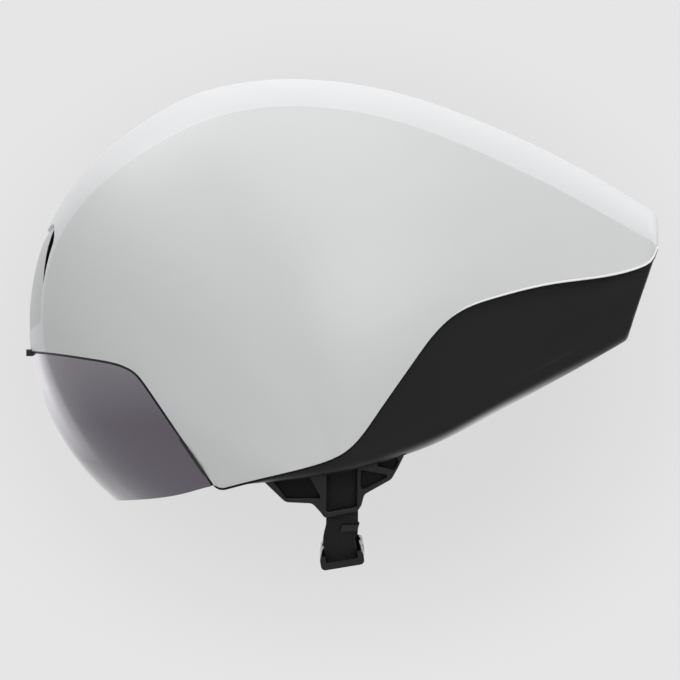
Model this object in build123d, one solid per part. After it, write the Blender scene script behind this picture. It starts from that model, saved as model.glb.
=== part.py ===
from build123d import *
import math
import os

# An aero time trial helmet. X runs from front to tail, Y from the wearer's left to right, Z up.
# The origin is the centre of the wearer's head. All lengths are in millimetres.

os.makedirs("parts", exist_ok=True)

# Outside of the helmet, measured from the head centre
front_reach = 131.0
tail_reach = 177.5
crown_rise = 127.0
ear_drop = 79.4
half_width = 102.0

# The wearer's head, and the foam's hollow round it
head_half_length = 100.0
head_half_width = 77.0
head_half_height = 97.0
hollow_gap = 6.5
neck_depth = 160.0

# Walls and gaps of the shells
shell_wall = 2.0
hull_wall = 2.0
lens_wall = 1.8
skin_gap = 0.3
lap_width = 5.0
hull_step = 2.6
scoop_depth = 9.0
hull_edge_radius = 9.0
hull_tuck = 22.0
tail_round_radius = 130.0
overrun = 5.0

# The visor and the frame that it sits on
gasket_width = 1.6
ledge_width = 7.0
ledge_wall = 1.8
lens_gap = 0.3
lens_seat_gap = 0.7
tab_width = 14.0
tab_height = 3.4
tab_stand = 1.2
magnet_radius = 3.5
magnet_thickness = 2.0
magnet_boss_wall = 1.2
magnet_gap = 0.3
lens_boss_reach = 9.0
seat_boss_reach = 4.0

# The front vent
vent_half_width = 25.0
vent_top = 52.5
vent_shoulder = 55.5
vent_foot = 3.0
vent_slit = 4.6
vent_slit_end = 24.5
vent_sink = 0.7
vent_insert_wall = 1.5
vent_duct_depth = 14.0
vent_fit = 0.2

# The exhaust in the tail
exhaust_half_width = 24.0
exhaust_height = 17.0
exhaust_rise = 15.5
exhaust_corner = 4.0
exhaust_depth = 16.0
exhaust_frame = 1.6
exhaust_bar = 1.6
exhaust_bars = 4
exhaust_fit = 0.3

# Pads inside the foam
pad_thickness = 5.0
pad_seat_gap = 0.3
pad_corner = 9.0
brow_pad_width = 96.0
brow_pad_height = 22.0
brow_pad_level = 16.0
crown_pad_length = 92.0
crown_pad_width = 30.0
side_pad_length = 74.0
side_pad_height = 26.0
side_pad_level = 50.0
rear_pad_width = 70.0
rear_pad_height = 22.0
rear_pad_level = 58.0
pad_round = 1.2

# The rear fit system
fit_level = 12.0
pin_x = -40.0
pin_radius = 2.5
pin_head_radius = 4.0
pin_head = 1.0
pin_bite = 9.0
pin_slack = 1.8
running_gap = 0.3
yoke_clearance = 1.2
yoke_wall = 1.6
yoke_height = 10.0
dial_level = -10.0
dial_radius = 13.0
dial_thickness = 6.0
dial_grips = 18
dial_grip_radius = 1.0
shaft_radius = 3.0
screw_radius = 1.5
screw_head_radius = 3.0
screw_head = 1.4
housing_half_width = 17.0
housing_wall = 1.6
housing_corner = 3.0
gear_module = 1.0
gear_teeth = 10
addendum_share = 0.72
dedendum_share = 1.0
pressure_angle = 25.0
flank_play = 0.17
rack_thickness = 2.2
rack_web = 3.0
rack_travel = 10.0
band_bend_radius = 26.0
band_bend_angle = 62.0
nape_pad_thickness = 3.0
nape_pad_edge = 1.5
nape_pad_share = 0.62
pocket_half_length = 122.0
pocket_half_width = 80.0
pocket_front = 75.0
pocket_low = -60.0
pocket_high = 32.0

# Strap guide, webbing and buckle
strap_width = 15.0
strap_thickness = 1.4
strap_x = 22.6
guide_half_span = 73.2
guide_wall = 3.2
guide_web = 1.0
guide_toe = 3.9
guide_lean = 10.0
guide_front = -20.0
guide_length = 73.0
guide_top = -58.0
guide_drop = 30.0
guide_slot_gap = 0.4
guide_corner = 1.2
strap_gap = 0.35
strap_bend = 4.0
strap_rise = 6.0
strap_foot = 1.5
strap_bar_gap = 0.15
strap_fold_gap = 0.3
fold_near = 3.5
fold_far = 5.0
fold_run = 7.0
rivet_radius = 2.0
rivet_length = 7.0
rivet_head = 0.8
keeper_length = 4.5
keeper_wall = 0.9
keeper_share = 0.2
buckle_near_y = -52.0
buckle_near_z = -109.3
buckle_tilt = 10.0
buckle_width = 21.5
buckle_thickness = 7.0
buckle_wall = 1.1
female_length = 25.0
male_length = 16.5
buckle_gap = 0.3
buckle_bar = 2.6
buckle_slot = 4.2
buckle_lip = 6.2
buckle_corner = 2.2
prong_width = 2.4
prong_reach = 13.5
prong_head = 5.2
prong_inset = 4.4
guide_tongue = 2.6
release_travel = 18.0

# Side view of the outside: each row is one rib of the loft, a fan of ribs from the ear to the tail.
# Crown point as shares of the reaches, crease drop as a share of the rib, half width at the crease,
# run to the shoulder, half widths at the shoulder, the belly and the hem as shares of the helmet's
# half width, and how much of the full turn the crease makes.
rib_root_shares = (0.135, -1.0)
rib_shares = (
    (-0.560, -1.145, 0.100, 0.350, 0.845, 0.640, 0.840, 0.840, 0.0),
    (-0.810, -0.769, 0.085, 0.355, 0.845, 0.690, 0.915, 0.860, 0.0),
    (-0.985, -0.142, 0.052, 0.280, 0.845, 0.740, 1.030, 0.880, 0.0),
    (-0.951, 0.357, 0.036, 0.280, 0.845, 0.720, 1.110, 0.880, 0.45),
    (-0.744, 0.692, 0.052, 0.375, 0.830, 0.780, 1.150, 0.880, 0.55),
    (-0.473, 0.895, 0.063, 0.430, 0.815, 0.810, 1.160, 0.880, 0.85),
    (-0.261, 0.974, 0.064, 0.455, 0.805, 0.835, 1.160, 0.880, 1.0),
    (0.013, 0.999, 0.064, 0.465, 0.800, 0.845, 1.160, 0.880, 1.0),
    (0.293, 0.941, 0.067, 0.460, 0.800, 0.830, 1.130, 0.865, 1.0),
    (0.586, 0.791, 0.072, 0.430, 0.810, 0.775, 1.050, 0.835, 0.95),
    (0.831, 0.620, 0.071, 0.380, 0.820, 0.680, 0.930, 0.805, 0.85),
    (1.043, 0.440, 0.063, 0.330, 0.830, 0.580, 0.830, 0.785, 0.75),
    (1.244, 0.270, 0.055, 0.280, 0.840, 0.490, 0.760, 0.765, 0.7),
    (1.400, 0.070, 0.050, 0.240, 0.840, 0.430, 0.700, 0.745, 0.6),
)
crease_turn = 16.0
belly_run_share = 0.45
inset_crease_share = 0.38
hem_run = 8.0

# Lines on the side view, as shares of the reaches
visor_line_shares = ((-1.070, -0.071), (-0.920, -0.090), (-0.748, -0.131), (-0.666, -0.159), (-0.606, -0.207), (-0.561, -0.293))
visor_foot_share = (-0.254, -1.037)
border_front_shares = ((-0.400, -0.985), (-0.153, -0.876), (0.052, -0.784), (0.135, -0.704), (0.218, -0.488), (0.328, -0.136))
border_rear_shares = ((0.389, 0.027), (0.453, 0.102), (0.549, 0.154), (0.715, 0.209), (0.950, 0.270), (0.983, 0.297), (0.997, 0.339), (1.010, 0.409))
bottom_front_shares = ((-0.733, -1.006), (-0.546, -0.993), (-0.411, -0.957), (-0.310, -0.913), (-0.116, -0.901), (0.039, -0.858))
bottom_rear_shares = ((0.163, -0.802), (0.287, -0.734), (0.384, -0.642), (0.494, -0.525), (0.605, -0.383), (0.715, -0.253), (0.914, -0.012))
tail_foot_share = (0.914, -0.012)
tail_knee_share = (0.9775, 0.258)
tail_run_share = 1.03

# Magnet pairs: place and level in the side view, and a share of the half width there
magnet_x_share = -0.905
magnet_z_share = -0.27
magnet_y_share = 0.60

# Stations of the lower hull along the helmet: place, bottom level, depth of the scoop and of the tuck
hull_rows_shares = (
    (-0.330, -0.930, 0.0, 0.0),
    (-0.200, -0.905, 0.0, 0.0),
    (0.070, -0.850, 0.1, 0.1),
    (0.230, -0.770, 0.6, 0.2),
    (0.384, -0.642, 1.0, 0.4),
    (0.549, -0.450, 1.0, 0.6),
    (0.740, -0.222, 0.8, 0.8),
    (0.914, -0.012, 0.5, 0.7),
    (1.100, 0.150, 0.4, 0.6),
)

# Outline and windows of the strap guide, as shares of its length from the front and its drop
guide_outline_shares = (
    (0.0, 0.067), (0.0, 0.30), (0.204, 0.737), (0.381, 0.757), (0.437, 0.897), (0.470, 1.0), (0.690, 0.887),
    (0.716, 0.793), (0.732, 0.63), (0.766, 0.547), (0.916, 0.363), (0.958, 0.18), (1.0, -0.03), (1.0, -0.33),
)
guide_front_window_shares = ((0.10, 0.33), (0.211, 0.670), (0.440, 0.670), (0.375, 0.33))
guide_strap_window_shares = ((0.474, 0.33), (0.474, 0.890), (0.683, 0.800), (0.683, 0.25))
guide_rear_window_shares = ((0.725, 0.22), (0.725, 0.480), (0.900, 0.290), (0.920, 0.10))
rear_strap_shares = ((0.704, 0.20), (0.904, 0.30), (0.985, -0.13), (0.79, -0.26))
guide_slot_shares = ((-0.015, 1.1), (1.015, 1.1), (1.015, -0.37), (-0.015, 0.03))
rivet_shares = ((0.12, 0.20), (0.90, -0.18))


def at(x_share, z_share):
    """A point of the side view from shares of the four reaches."""
    reach = tail_reach if x_share > 0 else front_reach
    rise = crown_rise if z_share > 0 else ear_drop
    return (reach * x_share, rise * z_share)


def line_points(shares):
    return [at(x_share, z_share) for x_share, z_share in shares]


visor_line = line_points(visor_line_shares)
visor_foot = at(*visor_foot_share)
border_line = line_points(border_front_shares + border_rear_shares)
bottom_line = line_points(bottom_front_shares + bottom_rear_shares)
tail_foot = at(*tail_foot_share)
tail_knee = at(*tail_knee_share)
rib_root = at(*rib_root_shares)
reach_all = front_reach + tail_reach


# Ribs of the outside

def rib_frame(row):
    """Direction and length of one rib, from the root of the fan to the crown."""
    crown_x, crown_z = at(row[0], row[1])
    run_x = crown_x - rib_root[0]
    run_z = crown_z - rib_root[1]
    length = math.hypot(run_x, run_z)
    return (run_x / length, run_z / length, length)


def rib_points(row, inset):
    """Half profile of one rib as (distance from the root, half width), moved in by the inset."""
    length = rib_frame(row)[2] - inset
    crease = length * (1 - row[2])
    crease_half = half_width * row[3] - inset * inset_crease_share
    shoulder = (crease * row[4], half_width * row[5] - inset)
    belly = (crease * belly_run_share, half_width * row[6] - inset)
    hem = (hem_run if inset == 0 else hem_run - overrun, half_width * row[7] - inset)
    lean = math.atan2(crease - shoulder[0], shoulder[1] - crease_half)
    crown_run = (length - crease) * 4 / 3
    crown_half = crease_half - crown_run / math.tan(lean - math.radians(crease_turn * row[8]))
    return (crease + crown_run, crown_half), (crease, crease_half), shoulder, belly, hem


def rib_wire(row, inset):
    """One closed rib: crown, two sides and a floor."""
    way_x, way_z, length = rib_frame(row)
    crown, crease, shoulder, belly, hem = rib_points(row, inset)

    def place(point, hand):
        return (rib_root[0] + way_x * point[0], hand * point[1], rib_root[1] + way_z * point[0])

    top = Bezier(place(crease, -1), place(crown, -1), place(crown, 1), place(crease, 1))
    right = Bezier(place(crease, 1), place(shoulder, 1), place(belly, 1), place(hem, 1))
    floor = Line(place(hem, 1), place(hem, -1))
    left = Bezier(place(hem, -1), place(belly, -1), place(shoulder, -1), place(crease, -1))
    return Wire([top, right, floor, left])


def skin(inset):
    """The whole outside as a solid, moved in by the inset."""
    return Solid.make_loft([rib_wire(row, inset) for row in rib_shares])


def bezier_value(a, b, c, d, t):
    s = 1 - t
    return s**3 * a + 3 * s**2 * t * b + 3 * s * t**2 * c + t**3 * d


def skin_half(x, z):
    """Half width of the outside at a point of the side view."""
    angle = math.atan2(z - rib_root[1], x - rib_root[0])
    run = math.hypot(z - rib_root[1], x - rib_root[0])
    frames = [rib_frame(row) for row in rib_shares]
    angles = [math.atan2(f[1], f[0]) for f in frames]
    angles = [a + 2 * math.pi if a < -1 else a for a in angles]
    angle = angle + 2 * math.pi if angle < -1 else angle
    spot = 0
    while spot < len(angles) - 2 and angles[spot + 1] > angle:
        spot += 1
    share = (angles[spot] - angle) / (angles[spot] - angles[spot + 1])
    near = rib_points(rib_shares[spot], 0)
    far = rib_points(rib_shares[spot + 1], 0)
    mixed = [(n[0] + (f[0] - n[0]) * share, n[1] + (f[1] - n[1]) * share) for n, f in zip(near, far)]
    low, high = 0.0, 1.0
    while high - low > 1e-4:
        middle = (low + high) / 2
        if bezier_value(*[p[0] for p in mixed[1:]], middle) > run:
            low = middle
        else:
            high = middle
    return bezier_value(*[p[1] for p in mixed[1:]], low)


# Slabs that cut the skin along the lines of the side view

def slab(edges):
    """A slab right across the helmet with an outline drawn in the side view."""
    face = make_face(edges)
    return extrude(Plane.XZ * face, amount=half_width + overrun, both=True)


def shifted(points, forward, up):
    """A line moved forward and up, so that its level run and its sloping run move alike."""
    lean_share = 0.528
    return [(x - forward * lean_share, z + up) for x, z in points]


def visor_slab(distance):
    """Everything on the visor's side of its upper and rear edge, that edge moved in by the distance."""
    points = shifted(visor_line + [visor_foot], distance, -distance)
    curve = Spline(*points[:-1])
    run = Line(points[-2], points[-1])
    far = (-front_reach - 3 * ledge_width, visor_foot[1] - 4 * ledge_width)
    out = Polyline(points[-1], (points[-1][0], far[1]), far, (far[0], points[0][1]), points[0])
    return slab([curve, run, out])


def above_border(distance):
    """Everything above the edge of the white shell, that edge raised by the distance."""
    points = shifted(border_line, distance, distance)
    curve = Spline(*points)
    top = crown_rise + overrun
    front = points[0][0] - reach_all
    out = Polyline(points[-1], (points[-1][0] + overrun, points[-1][1]), (points[-1][0] + overrun, top), (front, top), (front, points[0][1]), points[0])
    return slab([curve, out])


def above_bottom(distance):
    """Everything above the lower edge of the helmet, that edge raised by the distance."""
    points = [(x, z + distance) for x, z in bottom_line]
    curve = Spline(*points)
    top = crown_rise + overrun
    far_x = tail_reach * tail_run_share + 2 * overrun
    slope = (points[-1][1] - points[-2][1]) / (points[-1][0] - points[-2][0])
    end = (far_x, points[-1][1] + slope * (far_x - points[-1][0]))
    front = points[0][0] - reach_all
    out = Polyline(points[-1], end, (far_x, top), (front, top), (front, points[0][1]), points[0])
    return slab([curve, out])


def tail_block(lean, foot, distance):
    """Everything in front of a tail end that is rounded in plan and leans with the side view."""
    post = Cylinder(tail_round_radius - distance, 4 * crown_rise)
    post = Rot(0, lean, 0) * post
    back_off = tail_round_radius * math.cos(math.radians(lean))
    drop = tail_round_radius * math.sin(math.radians(lean))
    post = Pos(foot[0] - back_off, 0, foot[1] + drop) * post
    front = Box(2 * reach_all, 3 * half_width, 4 * crown_rise)
    front = Rot(0, lean, 0) * (Pos(-reach_all, 0, 0) * front)
    return post + Pos(foot[0] - back_off, 0, foot[1] + drop) * front


hull_lean = math.degrees(math.atan2(tail_knee[0] - tail_foot[0], tail_knee[1] - tail_foot[1]))


def write(node, name):
    export_step(node, "parts/" + name + ".step")
    print(name, len(node.solids()), "solids", round(sum(s.volume for s in node.solids())))


def ellipsoid(grow):
    """The head's form grown by a distance."""
    size = (head_half_length + grow, head_half_width + grow, head_half_height + grow)
    return scale(Sphere(1), by=size)


def head_hollow(grow):
    """The hollow for the head: a dome above the widest level and a slow taper below it."""
    keep = Box(3 * reach_all, 3 * half_width, 3 * reach_all, align=(Align.CENTER, Align.CENTER, Align.MIN))
    dome = ellipsoid(grow) & keep
    size = (head_half_length + grow, head_half_width + grow, neck_depth)
    below = scale(Sphere(1), by=size) - keep
    return dome + below


# Upper shell with its front vent

def vent_outline(side_in, slit):
    """Front view of the vent's opening, drawn in Y and Z. The slit takes its wedge off the sides."""
    half = vent_half_width - side_in
    foot = vent_foot + side_in
    top = vent_top - side_in
    peak = vent_shoulder - side_in
    corner = vent_foot + vent_half_width / 5 + side_in
    peak_y = half * 0.6 - slit / 2
    points = [(0, top), (peak_y, peak), (half - slit, vent_top - vent_slit), (half, vent_slit_end), (half, corner)]
    right = [Spline(points[0], points[1], points[2], tangents=((1, 0), (0.3, -1))), Line(points[2], points[3]), Line(points[3], points[4])]
    foot_arc = ThreePointArc(points[4], (0, foot), (-half, corner))
    left = [Line((-half, corner), (-half, vent_slit_end)), Line((-half, vent_slit_end), (-half + slit, vent_top - vent_slit))]
    left.append(Spline((-half + slit, vent_top - vent_slit), (-peak_y, peak), (0, top), tangents=((0.3, 1), (1, 0))))
    return make_face(right + [foot_arc] + left)


def vent_block(side_in, slit, depth):
    """The vent's outline run back from the front."""
    face = Plane.YZ * vent_outline(side_in, slit)
    return extrude(Pos(-front_reach - overrun, 0, 0) * face, amount=depth + overrun)


def make_upper_shell(outer, inner):
    shell = outer & above_border(0)
    shell = shell - visor_slab(0)
    shell = shell & tail_block(0, (tail_reach, 0), 0)
    core = inner & tail_block(0, (tail_reach - shell_wall, 0), 0)
    shell = shell - core
    return shell - vent_block(0, 0, front_reach / 2)


outer_skin = skin(0)
inner_skin = skin(shell_wall)
upper_shell = make_upper_shell(outer_skin, inner_skin)
write(upper_shell, "upper_shell")


# Visor lens, the frame that it sits on, its pull tab and its magnets

def make_lens(outer):
    body = outer & visor_slab(gasket_width + lens_gap)
    body = body & above_bottom(0)
    return body - skin(lens_wall)


def make_seat():
    """The black frame: a visible rim beside the lens and a ledge under the lens's edge."""
    rim = visor_slab(0) - visor_slab(gasket_width)
    ledge = visor_slab(gasket_width) - visor_slab(ledge_width)
    ledge_inset = lens_wall + lens_seat_gap
    seat = (skin(skin_gap) & rim) + (skin(ledge_inset) & ledge)
    seat = seat & above_bottom(skin_gap)
    return seat - skin(ledge_inset + ledge_wall)


def make_tab(outer):
    """A small nub at the brow, to pull the lens off by."""
    level = visor_line[0][1] - gasket_width
    block = Box(2 * overrun, tab_width, tab_height)
    block = fillet(block.edges().filter_by(Axis.X), tab_height / 3)
    block = Pos(-front_reach - tab_stand + overrun, 0, level) * block
    return block - outer


def bead(x_low, x_high, y, z, radius):
    """A round post along X between two places."""
    post = Cylinder(radius, x_high - x_low, align=(Align.CENTER, Align.CENTER, Align.MIN))
    return Pos(x_low, y, z) * (Rot(0, 90, 0) * post)


lens = make_lens(outer_skin)
seat = make_seat()
write(make_tab(outer_skin), "visor_tab")


# Lower hull behind the ears, closed under the tail

def border_level(x):
    """Level of the white shell's edge at a place along the helmet."""
    for (x0, z0), (x1, z1) in zip(border_line[:-1], border_line[1:]):
        if x <= x1:
            return z0 + (z1 - z0) * (x - x0) / (x1 - x0)
    return border_line[-1][1]


def hull_wire(row, inset):
    """One cross section of the hull: scooped sides, rounded lower edges and a floor."""
    x, low = at(row[0], row[1])
    border = border_level(x)
    top = border + 3 * lap_width
    edge = hull_edge_radius
    top_half = skin_half(x, min(top, crown_rise * 0.6)) - hull_step - inset
    scoop_half = skin_half(x, border) - hull_step - scoop_depth * row[2] - inset
    low_half = skin_half(x, low + edge) - hull_step - hull_tuck * row[3] - inset
    low = low + inset
    drop = top - low - edge

    def place(half, z, hand):
        return (x, hand * half, z)

    def side(hand):
        wall = Bezier(place(top_half, top, hand), place(scoop_half, top - drop * 0.45, hand), place(scoop_half, top - drop * 0.8, hand), place(low_half, low + edge, hand))
        corner = Bezier(place(low_half, low + edge, hand), place(low_half, low, hand), place(low_half - edge, low, hand))
        return wall, corner

    right, right_corner = side(1)
    left, left_corner = side(-1)
    floor = Line(place(low_half - edge, low, 1), place(low_half - edge, low, -1))
    roof = Line(place(top_half, top, -1), place(top_half, top, 1))
    return Wire([roof, right, right_corner, floor, left_corner, left])


def hull_body(inset):
    return Solid.make_loft([hull_wire(row, inset) for row in hull_rows_shares])


def fit_pocket():
    """Room behind the head for the fit system, open below."""
    pocket = extrude(Ellipse(pocket_half_length, pocket_half_width), amount=pocket_high - pocket_low)
    pocket = Pos(0, 0, pocket_low) * pocket
    keep = Box(reach_all, 3 * half_width, reach_all, align=(Align.MIN, Align.CENTER, Align.CENTER))
    return pocket & (Pos(pocket_front, 0, 0) * keep)


def exhaust_block(grow, depth):
    """The tail opening's outline run forward from behind the tail."""
    outline = RectangleRounded(2 * (exhaust_half_width + grow), exhaust_height + 2 * grow, exhaust_corner + grow)
    block = extrude(Plane.YZ * outline, amount=depth + overrun)
    return Pos(tail_foot[0] - depth, 0, exhaust_rise) * block


def make_hull(outer_hull):
    hull = outer_hull - above_border(lap_width)
    hull = hull & tail_block(hull_lean, tail_foot, 0) & tail_block(0, (tail_reach - shell_wall - skin_gap, 0), 0)
    hull = hull - (above_border(-skin_gap) - skin(shell_wall + skin_gap))
    core = hull_body(hull_wall) & tail_block(hull_lean, (tail_foot[0] - hull_wall, tail_foot[1]), 0)
    hull = hull - core - visor_slab(-skin_gap)
    hull = hull - head_hollow(hollow_gap) - fit_pocket()
    return hull - exhaust_block(0, exhaust_depth)


outer_hull = hull_body(0)
lower_shell = make_hull(outer_hull)


# Front vent insert: a wide island set a little under the skin, with an air slit at each side

def make_vent_insert():
    face = vent_block(vent_fit, vent_slit, front_reach / 2) & vent_block(0, 0, front_reach / 2)
    return (skin(vent_sink) & face) - skin(vent_sink + vent_insert_wall)


write(make_vent_insert(), "vent_insert")


# Exhaust grille in the cut-off tail

def make_grille():
    depth = exhaust_depth - exhaust_fit
    frame = exhaust_block(-exhaust_fit, depth) - exhaust_block(-exhaust_fit - exhaust_frame, depth)
    inner = 2 * (exhaust_half_width - exhaust_fit) - exhaust_frame
    step = inner / (exhaust_bars + 1)
    low_x = tail_foot[0] - depth
    for count in range(exhaust_bars):
        y = -inner / 2 + step * (count + 1)
        bar = Box(depth + overrun, exhaust_bar, exhaust_height - 2 * exhaust_fit, align=(Align.MIN, Align.CENTER, Align.CENTER))
        frame = frame + Pos(low_x, y, exhaust_rise) * bar
    return frame & outer_hull & tail_block(hull_lean, tail_foot, hull_wall / 2)


write(make_grille(), "exhaust_grille")


# Strap guide frame: a flat plane beside each ear that leans inwards as it drops

def guide_plane(hand):
    lean, toe = math.radians(guide_lean), math.radians(guide_toe)
    normal = (math.cos(lean) * math.sin(toe), hand * math.cos(lean) * math.cos(toe), -math.sin(lean))
    along = (math.cos(toe), -hand * math.sin(toe), 0)
    return Plane(origin=(0, hand * guide_half_span, guide_top), x_dir=along, z_dir=normal)


def guide_spot(x_share, z_share, hand):
    """A place on the guide's plane. Its own Y runs down on one side and up on the other."""
    drop = guide_drop * z_share / math.cos(math.radians(guide_lean))
    return (guide_front + guide_length * x_share, hand * drop)


def guide_face(shares, hand, corner):
    points = [guide_spot(x_share, z_share, hand) for x_share, z_share in shares]
    face = make_face(Polyline(*points, close=True))
    return fillet(face.vertices(), corner)


def guide_plate(face, hand, low, high):
    """A flat piece on the guide's plane, from one depth to another."""
    plate = extrude(face, amount=high - low)
    return guide_plane(hand) * (Pos(0, 0, low) * plate)


def guide_slot(hand):
    """The slot in the foam that the guide and its webbing go up into."""
    points = [guide_spot(x_share, z_share, hand) for x_share, z_share in guide_slot_shares]
    face = make_face(Polyline(*points, close=True))
    depth = strap_thickness + strap_gap + strap_width * math.sin(math.radians(guide_toe))
    return guide_plate(face, hand, -depth - guide_slot_gap, guide_wall + guide_slot_gap)


# Foam liner

def make_liner():
    gap = shell_wall + skin_gap
    upper = skin(gap) & above_border(lap_width + skin_gap)
    upper = upper & tail_block(0, (tail_reach - shell_wall - skin_gap, 0), 0)
    lower = hull_body(hull_wall + skin_gap) - above_border(lap_width + skin_gap)
    lower = lower & tail_block(hull_lean, (tail_foot[0] - hull_wall - skin_gap, tail_foot[1]), 0)
    foam = upper + lower
    foam = foam - visor_slab(-skin_gap)
    foam = foam - head_hollow(hollow_gap) - fit_pocket()
    foam = foam - vent_duct() - exhaust_block(0, exhaust_depth)
    return foam


def vent_duct():
    """Air channels in the foam behind the slits of the vent."""
    half = vent_half_width
    width = vent_slit + vent_fit
    height = vent_top - vent_slit - vent_slit_end
    block = Box(front_reach / 2, width, height)
    level = vent_slit_end + height / 2
    x = -front_reach + vent_duct_depth
    keep = skin(shell_wall) - skin(shell_wall + vent_duct_depth)
    both = Pos(x, half - width / 2, level) * block + Pos(x, width / 2 - half, level) * block
    return both & keep


# Magnets: each lens magnet sits on a boss inside the lens and meets one on the frame

def magnet_spots():
    """Places of the magnet pairs at the brow."""
    x, z = at(magnet_x_share, magnet_z_share)
    half = skin_half(x, z) * magnet_y_share
    return [(x, -half, z), (x, half, z)]


def magnet_pair(x, y, z):
    """Both magnets and both bosses of one pair. A strut ties the frame's boss to its ledge."""
    meet = magnet_gap / 2
    lens_magnet = bead(x - meet - magnet_thickness, x - meet, y, z, magnet_radius)
    seat_magnet = bead(x + meet, x + meet + magnet_thickness, y, z, magnet_radius)
    boss = magnet_radius + magnet_boss_wall
    lens_boss = bead(x - meet - lens_boss_reach, x - meet, y, z, boss) - lens_magnet
    seat_boss = bead(x + meet, x + meet + seat_boss_reach, y, z, boss)
    strut = Box(2 * seat_boss_reach, magnet_radius, seat_boss_reach, align=(Align.CENTER, Align.CENTER, Align.MIN))
    seat_boss = seat_boss + Pos(x + meet, y, z + boss + magnet_gap) * strut
    link = Box(seat_boss_reach, magnet_radius, boss + seat_boss_reach, align=(Align.MIN, Align.CENTER, Align.MIN))
    seat_boss = seat_boss + Pos(x + meet, y, z) * link
    return lens_magnet, seat_magnet, lens_boss, seat_boss - seat_magnet


def add_bosses(lens, seat):
    """Fuses the bosses to the lens and to the frame, each cut back to its own side."""
    lens_room = skin(lens_wall / 2)
    seat_room = skin(lens_wall + lens_seat_gap)
    for spot in magnet_spots():
        lens_magnet, seat_magnet, lens_boss, seat_boss = magnet_pair(*spot)
        lens = lens + (lens_boss & lens_room) - lens_magnet
        seat = seat + (seat_boss & seat_room) - seat_magnet
    return lens, seat


def make_magnets(which):
    return Compound([magnet_pair(*spot)[which] for spot in magnet_spots()])


# Pads inside the foam

def pad_body(block):
    """A cushion that follows the foam's hollow, with rounded edges."""
    outer = hollow_gap - pad_seat_gap
    pad = (ellipsoid(outer) - ellipsoid(outer - pad_thickness)) & block
    return fillet(pad.edges(), pad_round)


def pad_block(length, height, corner, plane):
    return extrude(plane * RectangleRounded(length, height, corner), amount=reach_all)


def make_pads():
    front = Plane(origin=(0, 0, brow_pad_level), x_dir=(0, 1, 0), z_dir=(-1, 0, 0))
    up = Plane(origin=(0, 0, head_half_height / 2), x_dir=(1, 0, 0), z_dir=(0, 0, 1))
    back = Plane(origin=(0, 0, rear_pad_level), x_dir=(0, 1, 0), z_dir=(1, 0, 0))
    pads = {"brow_pad": pad_body(pad_block(brow_pad_width, brow_pad_height, pad_corner, front))}
    pads["crown_pad"] = pad_body(pad_block(crown_pad_length, crown_pad_width, pad_corner, up))
    pads["rear_pad"] = pad_body(pad_block(rear_pad_width, rear_pad_height, pad_corner, back))
    for hand, name in ((-1, "side_pad_left"), (1, "side_pad_right")):
        side = Plane(origin=(0, 0, side_pad_level), x_dir=(1, 0, 0), z_dir=(0, hand, 0))
        pads[name] = pad_body(pad_block(side_pad_length, side_pad_height, pad_corner, side))
    return pads


# Rear fit system: a yoke on temple pins carries the dial's housing and two racks

yoke_inner = head_half_length + yoke_clearance
yoke_back = yoke_inner + yoke_wall
yoke_half = head_half_width + yoke_clearance + yoke_wall
housing_depth = 2 * running_gap + rack_thickness + housing_wall
rack_low_x = yoke_back + running_gap
housing_back = yoke_back + housing_depth
pitch_radius = gear_module * gear_teeth / 2
rack_back = pitch_radius + gear_module * dedendum_share + rack_web
housing_half_height = rack_back + running_gap + housing_wall
band_start = housing_half_width + rack_travel + running_gap
pin_half_span = yoke_half * math.sqrt(1 - (pin_x / yoke_back) ** 2)


def make_yoke():
    ring = Ellipse(yoke_back, yoke_half) - Ellipse(yoke_inner, yoke_half - yoke_wall)
    band = extrude(ring, amount=yoke_height)
    band = Pos(0, 0, fit_level - yoke_height / 2) * band
    keep = Box(2 * reach_all, 3 * half_width, reach_all, align=(Align.MIN, Align.CENTER, Align.CENTER))
    band = band & (Pos(pin_x - yoke_height, 0, 0) * keep)
    low = dial_level - housing_half_height
    top = fit_level + yoke_height / 2
    plate = Box(yoke_wall, 2 * housing_half_width, top - low, align=(Align.MAX, Align.CENTER, Align.MIN))
    plate = fillet(plate.edges().filter_by(Axis.X), housing_corner)
    yoke = band + Pos(yoke_back, 0, low) * plate
    eye = Cylinder(pin_radius + running_gap / 2, 3 * half_width)
    return yoke - Pos(pin_x, 0, fit_level) * (Rot(90, 0, 0) * eye)


def make_pin(hand):
    """A temple pin: its head inside the yoke and its shank in the foam."""
    shank = Cylinder(pin_radius, yoke_wall + pin_bite + pin_slack, align=(Align.CENTER, Align.CENTER, Align.MIN))
    head = Cylinder(pin_head_radius, pin_head, align=(Align.CENTER, Align.CENTER, Align.MAX))
    pin = Rot(-hand * 90, 0, 0) * (shank + head)
    return Pos(pin_x, hand * (pin_half_span - yoke_wall - pin_slack), fit_level) * pin


def make_housing():
    """A box open to the yoke's plate and at both ends, with a bore for the dial's shaft."""
    body = Box(housing_depth, 2 * housing_half_width, 2 * housing_half_height, align=(Align.MIN, Align.CENTER, Align.CENTER))
    body = fillet(body.edges().filter_by(Axis.X), housing_corner)
    room = Box(housing_depth - housing_wall, 3 * housing_half_width, 2 * (rack_back + running_gap), align=(Align.MIN, Align.CENTER, Align.CENTER))
    housing = Pos(yoke_back, 0, dial_level) * (body - room)
    return housing - bead(yoke_back, housing_back + overrun, 0, dial_level, shaft_radius + running_gap)


def involute_turn(radius):
    """Half of a tooth's angle at a radius, in radians."""
    base = pitch_radius * math.cos(math.radians(pressure_angle))
    at_pitch = (math.pi * gear_module - flank_play) / 4 / pitch_radius
    inv_pitch = math.tan(math.radians(pressure_angle)) - math.radians(pressure_angle)
    if radius <= base:
        return at_pitch + inv_pitch
    angle = math.acos(base / radius)
    return at_pitch + inv_pitch - (math.tan(angle) - angle)


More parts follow.
